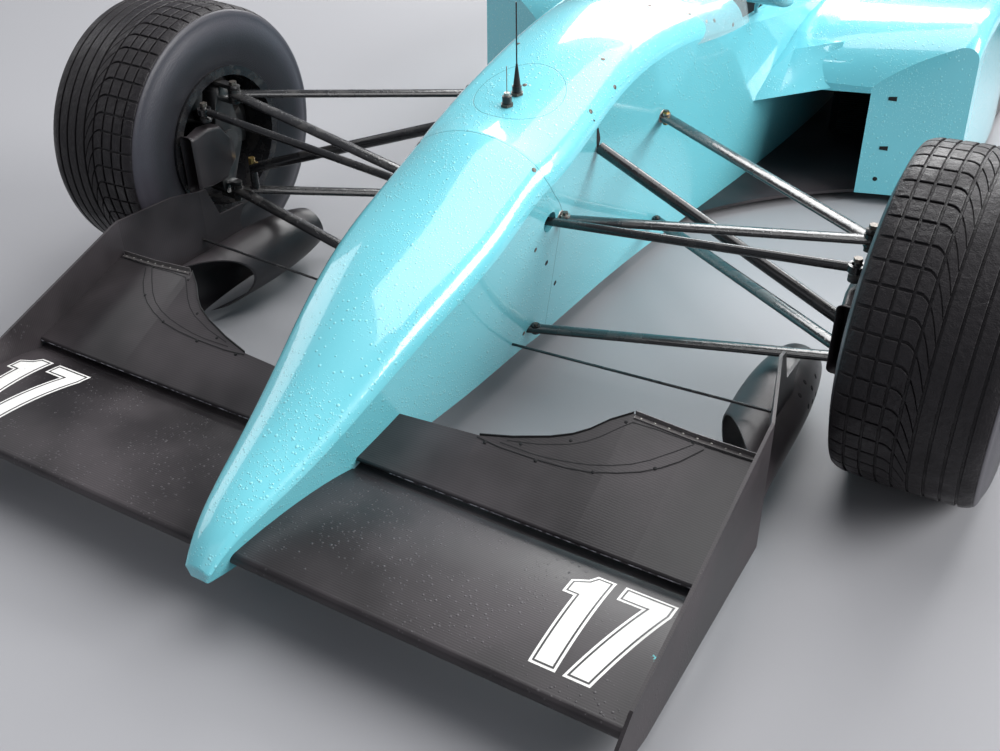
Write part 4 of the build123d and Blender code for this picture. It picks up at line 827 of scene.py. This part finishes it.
# Cockpit: the carbon seat shell, the padded headrest on the rear bulkhead, and the suede rim
# of the steering wheel. The pad is foam under black cloth, glued to a flat back.
shell, spot = start_finish("seat_carbon")
along, back, high = parts_of(spot)
TWILL_PITCH = 0.006
twill = ridges(along + high, TWILL_PITCH)
shade = blend_colour(ease(twill, -0.5, 0.5), (0.012, 0.012, 0.013, 1), (0.035, 0.035, 0.037, 1))
end_finish(spot, shade, {"Roughness": 0.30, "Coat Weight": 0.5}, twill, 0.0002)
give(shell, "seat")

suede = speckled("black_suede", 160.0, 3.0, (0.014, 0.014, 0.015), (0.040, 0.038, 0.037), 1500.0, 0.0004,
                 roughness=0.9)
give(suede, "steering_wheel")

pad_cloth = speckled("pad_cloth", 500.0, 2.0, (0.012, 0.012, 0.012), (0.035, 0.035, 0.036), 900.0, 0.0006,
                     roughness=0.85)
PAD_SHRINK = 0.95
PAD_VOXEL = 0.005
PAD_PRESSURE = 4.0
PAD_FRAMES = 20
PAD_SWELL = 0.006
PAD_BACK = 0.004
pad_mesh, tool = merged_copy("headrest")
low = Vector([min(v.co[i] for v in tool.verts) for i in range(3)])
high_corner = Vector([max(v.co[i] for v in tool.verts) for i in range(3)])
middle = (low + high_corner) / 2
for v in tool.verts:
    v.co.x = middle.x + (v.co.x - middle.x) * PAD_SHRINK
    v.co.z = middle.z + (v.co.z - middle.z) * PAD_SHRINK
    v.co.y = high_corner.y + (v.co.y - high_corner.y) * PAD_SHRINK
tool.to_mesh(pad_mesh)
tool.free()
pad = placed("headrest_pad", pad_mesh)
voxels = pad.modifiers.new("voxels", "REMESH")
voxels.mode = "VOXEL"
voxels.voxel_size = PAD_VOXEL
made_plain(pad)
held = pad.vertex_groups.new(name="glued_back")
held.add([v.index for v in pad.data.vertices if v.co.y > high_corner.y - PAD_BACK], 1.0, "REPLACE")
before = [v.co.copy() for v in pad.data.vertices]
cloth = pad.modifiers.new("cloth", "CLOTH")
cloth.settings.use_pressure = True
cloth.settings.uniform_pressure_force = PAD_PRESSURE
cloth.settings.vertex_group_mass = "glued_back"
cloth.settings.effector_weights.gravity = 0
for step in range(1, PAD_FRAMES + 1):
    bpy.context.scene.frame_set(step)
made_plain(pad)
for v, start in zip(pad.data.vertices, before):
    moved = v.co - start
    if moved.length > PAD_SWELL:
        v.co = start + moved.normalized() * PAD_SWELL
bpy.context.scene.frame_set(1)
rounder = pad.modifiers.new("rounder", "SUBSURF")
rounder.levels = 1
rounder.render_levels = 1
made_plain(pad)
pad.data.materials.clear()
pad.data.materials.append(pad_cloth)
for face in pad.data.polygons:
    face.material_index = 0
    face.use_smooth = True
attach(pad, "chassis")
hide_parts("headrest")

# Mirrors: silvered glass let into the rear face of each painted shell, behind a thin black bezel.
# The glass is flat and a little smaller than the shell.
mirror_glass, spot = start_finish("mirror_glass")
shade = blend_colour(noise(spot, 40.0, 2.0), (0.70, 0.73, 0.75, 1), (0.78, 0.80, 0.82, 1))
end_finish(spot, shade, {"Metallic": 1.0, "Roughness": 0.04}, rain_beads(spot, 0.008, 0.3), 0.0003)
MIRROR_X = 0.250
MIRROR_BACK = 0.8545
MIRROR_HIGH = 0.612
GLASS_CORNER_STEPS = 5
# half width, half height, how far it stands out of the shell, depth behind that, corner, material slot
GLASS_LAYERS = ((0.059, 0.032, 0.0010, 0.0040, 0.012, 1), (0.053, 0.027, 0.0020, 0.0030, 0.010, 0))
tool = bmesh.new()
for side in (1, -1):
    for wide, tall, proud, depth, corner, slot in GLASS_LAYERS:
        outline = rounded(MIRROR_X - wide, MIRROR_X + wide, MIRROR_HIGH - tall, MIRROR_HIGH + tall, corner,
                          GLASS_CORNER_STEPS)
        rings = [[tool.verts.new(by_axle(x, MIRROR_BACK + out, z, side)) for x, z in outline]
                 for out in (proud - depth, proud)]
        for face in joined(tool, rings):
            face.material_index = slot
finished("mirror_glass", tool, (mirror_glass, black_and_hole_shade))

# Antennas: a black whip on a cone, and a short stub with a bare wire on it. Both are screwed
# through the hatch ahead of the screen, on plated nuts.
moulding = speckled("black_moulding", 60.0, 3.0, (0.010, 0.010, 0.011), (0.022, 0.022, 0.023), 700.0,
                    0.0002, roughness=0.32)
give(moulding, "antennas")
STUB_BACK = -0.010
WHIP_BACK = 0.031
NUT_LIFT = Vector((0, 0, 0.002))
antenna_nuts = [tub_top(0, FRONT_AXLE_Y + back) + NUT_LIFT for back in (STUB_BACK, WHIP_BACK)]
add_pegs("antenna_nuts", antenna_nuts, (6, 0.0140, 0.005), dull_steel)
add_pegs("antenna_wire", [by_axle(0, STUB_BACK, 0.616)], (8, 0.0010, 0.064), zinc)
add_pegs("antenna_collar", [by_axle(0, STUB_BACK, 0.589)], (16, 0.0062, 0.008), zinc)

# Rain light: a red moulded lens with ribs, clipped to a housing on the tail of the gearbox,
# so that it shows through spray.
lens, spot = start_finish("red_lens")
LENS_RIB_PITCH = 0.008
ribs = ridges(parts_of(spot)[0], LENS_RIB_PITCH)
shade = blend_colour(ease(ribs, -0.5, 0.5), (0.30, 0.004, 0.004, 1), (0.55, 0.02, 0.015, 1))
end_finish(spot, shade, {"Roughness": 0.12, "Coat Weight": 1.0}, ribs, 0.001)
give(lens, "rain_light")

# Rims and brakes: cast magnesium rims in dark paint, held by one centre nut, and carbon brake
# discs inside them. The discs' bells and the hubs have the discs' dark finish.
rim_paint, spot = start_finish("rim_paint")
dust = ease(noise(spot, 30.0, 4.0), 0.4, 0.75)
shade = blend_colour(dust, (0.030, 0.030, 0.034, 1), (0.075, 0.070, 0.068, 1))
end_finish(spot, shade, {"Metallic": 0.6, "Roughness": dust * 0.2 + 0.22}, noise(spot, 700.0), 0.0002)
disc_carbon = speckled("disc_carbon", 220.0, 4.0, (0.014, 0.014, 0.015), (0.045, 0.045, 0.047), 600.0,
                       0.0004, roughness=0.55)
for corner in ("front_left", "front_right", "rear_left", "rear_right"):
    give(rim_paint, "rim_" + corner)
    give(disc_carbon, "hub_" + corner)

# Tyres: soft wet-weather rubber moulded on a cloth carcass. The inner half of the tread is cut
# into blocks by straight slots that bend round with the tyre as they reach the outer half,
# where long ribs run right round it.
rubber, spot = start_finish("tread_rubber")
wear = noise(spot, 45.0, 4.0)
wet = ease(noise(spot, 9.0, 3.0), 0.45, 0.65)
shade = blend_colour(wear, (0.005, 0.004, 0.005, 1), (0.018, 0.015, 0.0175, 1))
grain = noise(spot, 420.0, 3.0) * 0.4 + noise(spot, 95.0, 4.0)
end_finish(spot, shade, {"Roughness": 0.62 - wet * 0.26, "Specular IOR Level": 0.36}, grain, 0.0022)
side_rubber, spot = start_finish("sidewall_rubber")
PAINTED_SHEEN_REACH = (0.235, 0.285)
RING_PITCH = 0.0035
RINGS_END = (0.19, 0.215)
reach = spot.node("ShaderNodeAttribute", {"attribute_name": "axle_reach"}, {}, "Fac")
# Painted sheen: the sidewall is drawn paler towards the shoulder, where it catches the light, with some
# random tone mixed in.
painted_sheen_and_tone = ease(reach, *PAINTED_SHEEN_REACH) * 0.75 + noise(spot, 14.0, 3.0) * 0.25
moulding_rings = ease(ridges(reach, RING_PITCH), 0.0, 1.0) * (1 - ease(reach, *RINGS_END))
shade = blend_colour(painted_sheen_and_tone, (0.013, 0.013, 0.016, 1), (0.042, 0.040, 0.050, 1))
end_finish(spot, shade, {"Roughness": 0.46 - painted_sheen_and_tone * 0.08, "Specular IOR Level": 0.40},
           noise(spot, 300.0, 3.0) + moulding_rings * 0.6, 0.0006)

TREAD_DEPTH = 0.0042
TREAD_CROWN = 0.005
TREAD_INSET = 0.016
SHOULDER_REACH = 0.022
SHOULDER_DROP = 0.006
SHOULDER_OUT = 0.0055
SHOULDER_DEEP = 0.027
TURN_OUT = 0.0035
TURN_DEEP = 0.0175
TURN_STEPS = 5
RUN_OUT = 0.014
RUN_OUT_LEAST = 0.07
SLOT_WIDTH = 0.0046
BENT_COLUMNS = 1.7
BEND_REACH = 0.080
BLOCK_END_INSET = 0.07
RIM_SEAT = 0.1673
RIM_INSET = 0.0153
BULGE_DROP = 0.004
LIP_TOP = 0.1813
TREAD_BAND = 0.02
SIDE_STEPS = 12
CROWN_STEPS = 26
ROUND_STEPS = 128


def arc_through(start, middle, end, steps):
    """Points on the arc through three points, the first left out."""
    a, b, c = complex(*start), complex(*middle), complex(*end)
    ratio = (c - a) / (b - a)
    centre = a + (b - a) * (ratio - abs(ratio) ** 2) / (2j * ratio.imag)
    first = a - centre
    part, whole = [cmath.phase((p - centre) / first) % (2 * math.pi) for p in (b, c)]
    if part > whole:
        whole -= 2 * math.pi
    arc = [centre + first * cmath.exp(1j * whole * i / steps) for i in range(1, steps + 1)]
    return [(p.real, p.imag) for p in arc]


def tread_drop(x, half):
    """How far the tread's face lies below the tyre's full radius."""
    over = max(abs(x) - (half - SHOULDER_REACH), 0) / SHOULDER_REACH
    return TREAD_CROWN * (x / half) ** 2 + SHOULDER_DROP * over * over


def carcass_section(radius, width):
    """The tyre's section from bead to bead, with the tread's floor sunk below the blocks."""
    bead = width / 2 - RIM_INSET
    half = width / 2 - TREAD_INSET
    edge = (half, radius - tread_drop(half, half))
    shoulder = (half + SHOULDER_OUT, radius - SHOULDER_DEEP)
    bulge = (width / 2, (RIM_SEAT + radius) / 2 - BULGE_DROP)
    side = arc_through((bead, LIP_TOP), bulge, shoulder, SIDE_STEPS)
    turn_in = arc_through(shoulder, (half + TURN_OUT, radius - TURN_DEEP), edge, TURN_STEPS)
    crown = []
    for i in range(1, CROWN_STEPS + 1):
        x = half * (1 - i / CROWN_STEPS)
        run_out = min((half - x) / RUN_OUT, 1.0)
        sunk = TREAD_DEPTH * (RUN_OUT_LEAST + (1 - RUN_OUT_LEAST) * run_out)
        crown.append((x, radius - tread_drop(x, half) - sunk))
    section = [(bead, RIM_SEAT), (bead, LIP_TOP)] + side + turn_in + crown
    return section + [(-x, r) for x, r in reversed(section[:-1])]


def carcass_mesh(name, axle_x, axle_y, radius, width):
    """The carcass turned about its axle, with the tread and the sides in finishes of their own."""
    ring = carcass_section(radius, width)
    count = len(ring)
    turns = [2 * math.pi * i / ROUND_STEPS for i in range(ROUND_STEPS)]
    points = [(axle_x + x, axle_y + r * math.sin(turn), radius + r * math.cos(turn))
              for turn in turns for x, r in ring]
    faces = []
    for i in range(ROUND_STEPS):
        here, after = i * count, (i + 1) % ROUND_STEPS * count
        for j in range(count):
            k = (j + 1) % count
            faces.append((here + j, here + k, after + k, after + j))
    mesh = bpy.data.meshes.new(name)
    mesh.from_pydata(points, [], faces)
    mesh.materials.append(side_rubber)
    mesh.materials.append(rubber)
    slots = [int(abs(x) <= width / 2 - TREAD_INSET and r > radius - TREAD_BAND) for x, r in ring]
    mesh.polygons.foreach_set("material_index", slots * ROUND_STEPS)
    reaches = [r for x, r in ring] * ROUND_STEPS
    mesh.attributes.new("axle_reach", "FLOAT", "POINT").data.foreach_set("value", reaches)
    mesh.shade_smooth()
    return mesh


LUG_ACROSS = 4
LUG_ALONG = 2
LUG_CHAMFER_START = 0.72
LUG_TOP_WIDTH = 0.90


def lug_object(name, end_inset):
    """One tread block or rib length, of unit size, with chamfered top edges and no underside."""
    tool = bmesh.new()

    def point(i, j, top, shrink_x, shrink_y):
        return tool.verts.new(((i / LUG_ACROSS - 0.5) * shrink_x, (j / LUG_ALONG - 0.5) * shrink_y, top))

    spots = [(i, j) for j in range(LUG_ALONG + 1) for i in range(LUG_ACROSS + 1)]
    face_top = {(i, j): point(i, j, 1.0, LUG_TOP_WIDTH, 1 - end_inset) for i, j in spots}
    for i in range(LUG_ACROSS):
        for j in range(LUG_ALONG):
            tool.faces.new((face_top[i, j], face_top[i + 1, j], face_top[i + 1, j + 1], face_top[i, j + 1]))
    sides = [[(LUG_ACROSS, j) for j in range(LUG_ALONG + 1)], [(0, j) for j in range(LUG_ALONG, -1, -1)]]
    if end_inset:
        sides.append([(i, LUG_ALONG) for i in range(LUG_ACROSS, -1, -1)])
        sides.append([(i, 0) for i in range(LUG_ACROSS + 1)])
    for side in sides:
        above = [face_top[spot] for spot in side]
        for top in (LUG_CHAMFER_START, 0.0):
            below = [point(i, j, top, 1.0, 1.0) for i, j in side]
            for k in range(len(side) - 1):
                tool.faces.new((above[k], below[k], below[k + 1], above[k + 1]))
            above = below
    bmesh.ops.remove_doubles(tool, verts=tool.verts, dist=0.0001)
    mesh = bpy.data.meshes.new(name)
    tool.to_mesh(mesh)
    tool.free()
    return placed(name, mesh)


def joined_in_tree(fields):
    """Several geometries of a tree as one."""
    join = fields[0].tree.nodes.new("GeometryNodeJoinGeometry")
    for field in fields:
        field.tree.links.new(field.socket, join.inputs[0])
    return Field(join.id_data, join.outputs[0])


TREAD_SIZES = ("Radius", "Tread Half", "Blocks", "Columns", "Rows", "Axle X", "Axle Y", "Side")
tread, given = new_tree("tread", "Tyre", [
    ("Carcass", "Geometry"), ("Block", "Object"), ("Rib", "Object"), ("Rubber", "Material")]
    + [(title, "Float") for title in TREAD_SIZES])
carcass, block_in, rib_in, tread_finish, radius, half, blocks, columns, rows, axle_x, axle_y, side = given
index = carcass.node("GeometryNodeInputIndex", {}, {})
column = index.maths("MODULO", index, columns)
row = index.maths("FLOOR", index / columns + 0.0001)
width = half * 2.0 / columns
pitch = radius * (2 * math.pi) / rows
across = side * ((column + 0.5) * width - half)
place = side.node("ShaderNodeCombineXYZ", {}, {0: across, 1: row * pitch, 2: 0.0})
points = columns.node("GeometryNodePoints", {}, {"Count": columns * rows})
points = points.node("GeometryNodeSetPosition", {}, {"Geometry": points, "Position": place})
lugs = []
for source, relation, gap in ((block_in, "LESS_THAN", SLOT_WIDTH), (rib_in, "GREATER_THAN", 0.0)):
    chosen = column.node("FunctionNodeCompare", {"data_type": "FLOAT", "operation": relation},
                         {0: column, 1: blocks - 0.5})
    shape = source.node("GeometryNodeObjectInfo", {}, {"Object": source}, "Geometry")
    size = width.node("ShaderNodeCombineXYZ", {}, {0: width - SLOT_WIDTH, 1: pitch - gap, 2: TREAD_DEPTH})
    lugs.append(points.node("GeometryNodeInstanceOnPoints", {}, {"Points": points, "Selection": chosen,
                                                                 "Instance": shape, "Scale": size}))
rough = points.node("GeometryNodeRealizeInstances", {}, {0: joined_in_tree(lugs)})
x, y, z = parts_of(rough.node("GeometryNodeInputPosition", {}, {}))
# Columns from the tyre's inner edge, counted from where the slots begin to bend.
bend = (x * side + half) / width
bend = bend.maths("MINIMUM", bend, blocks) - (blocks - BENT_COLUMNS)
bend = bend.maths("MAXIMUM", bend, 0.0) / BENT_COLUMNS
angle = (y - (bend ** 2.0) * BEND_REACH) / radius
over = (abs(x) - (half - SHOULDER_REACH)) / SHOULDER_REACH
over = over.maths("MAXIMUM", over, 0.0)
drop = (x / half) ** 2.0 * TREAD_CROWN + over ** 2.0 * SHOULDER_DROP
reach = radius - TREAD_DEPTH - drop + z
bent = x.node("ShaderNodeCombineXYZ", {}, {0: axle_x + x, 1: axle_y + reach * angle.maths("SINE", angle),
                                           2: radius + reach * angle.maths("COSINE", angle)})
rough = rough.node("GeometryNodeSetPosition", {}, {"Geometry": rough, "Position": bent})
rough = rough.node("GeometryNodeSetMaterial", {}, {"Geometry": rough, "Material": tread_finish})
end_tree(joined_in_tree((carcass, rough)))

block_lug = lug_object("tread_block", BLOCK_END_INSET)
rib_lug = lug_object("tread_rib", 0.0)
WHEELBASE = 2.88
# end of the car, X of the wheel's middle, Y of the axle, radius, width, block columns, all columns, rows
TYRES = (
    ("front_", 0.934, FRONT_AXLE_Y, 0.321, 0.284, 5, 9, 50),
    ("rear_", 0.845, FRONT_AXLE_Y + WHEELBASE, 0.333, 0.396, 7, 13, 52),
)
for (end, wheel_x, axle_y, radius, width, *counts), (side, name) in product(TYRES, SIDES):
    corner = end + name
    axle_x = side * wheel_x
    mesh = carcass_mesh("rain_tyre_" + corner, axle_x, axle_y, radius, width)
    sizes = [float(size) for size in (radius, width / 2 - TREAD_INSET, *counts, axle_x, axle_y, side)]
    tyre = grown("rain_tyre_" + corner, mesh, tread,
                 dict(zip(TREAD_SIZES, sizes), Block=block_lug, Rib=rib_lug, Rubber=rubber))
    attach(tyre, "wheel_" + corner)
    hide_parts("tyre_" + corner)
bpy.data.objects.remove(block_lug)
bpy.data.objects.remove(rib_lug)

# Race number on the front wing: plain white vinyl numerals with a thin black keyline, one pair
# on each side, stuck on the mainplane so that they read from the front.
vinyls = []
for name, dark, light in (("white_vinyl", (0.72, 0.71, 0.68, 1), (0.82, 0.81, 0.79, 1)),
                          ("black_vinyl", (0.012, 0.012, 0.013, 1), (0.02, 0.02, 0.021, 1))):
    vinyl, spot = start_finish(name)
    shade = blend_colour(noise(spot, 30.0, 3.0), dark, light)
    end_finish(spot, shade, {"Roughness": 0.35}, rain_beads(spot, 0.012, 0.30), 0.0006)
    vinyls.append(vinyl)

# X and distance behind the front axle of each numeral's corners
NUMERAL_ONE = ((0.571, -0.945), (0.616, -0.945), (0.616, -0.736), (0.584, -0.736), (0.575, -0.752),
               (0.551, -0.766), (0.551, -0.799), (0.571, -0.799))
NUMERAL_SEVEN = ((0.628, -0.945), (0.673, -0.945), (0.721, -0.766), (0.721, -0.735), (0.632, -0.735),
                 (0.632, -0.772), (0.675, -0.772))
KEYLINE_INSET = 0.0042
KEYLINE_WIDTH = 0.0032
VINYL_LIFT = 0.0004
RIGHT_SIDE_SHIFT = -1.275
wing_top = height_on(surface_of("front_mainplane"))
tool = bmesh.new()
for shift in (0.0, RIGHT_SIDE_SHIFT):
    for glyph in (NUMERAL_ONE, NUMERAL_SEVEN):
        moved = [(x + shift, y) for x, y in glyph]
        lay_film(tool, wing_top, moved, None, VINYL_LIFT, 0)
        lay_film(tool, wing_top, shrunk(moved, KEYLINE_INSET), shrunk(moved, KEYLINE_INSET + KEYLINE_WIDTH),
                 VINYL_LIFT * 2, 1)
finished("race_numerals", tool, vinyls)
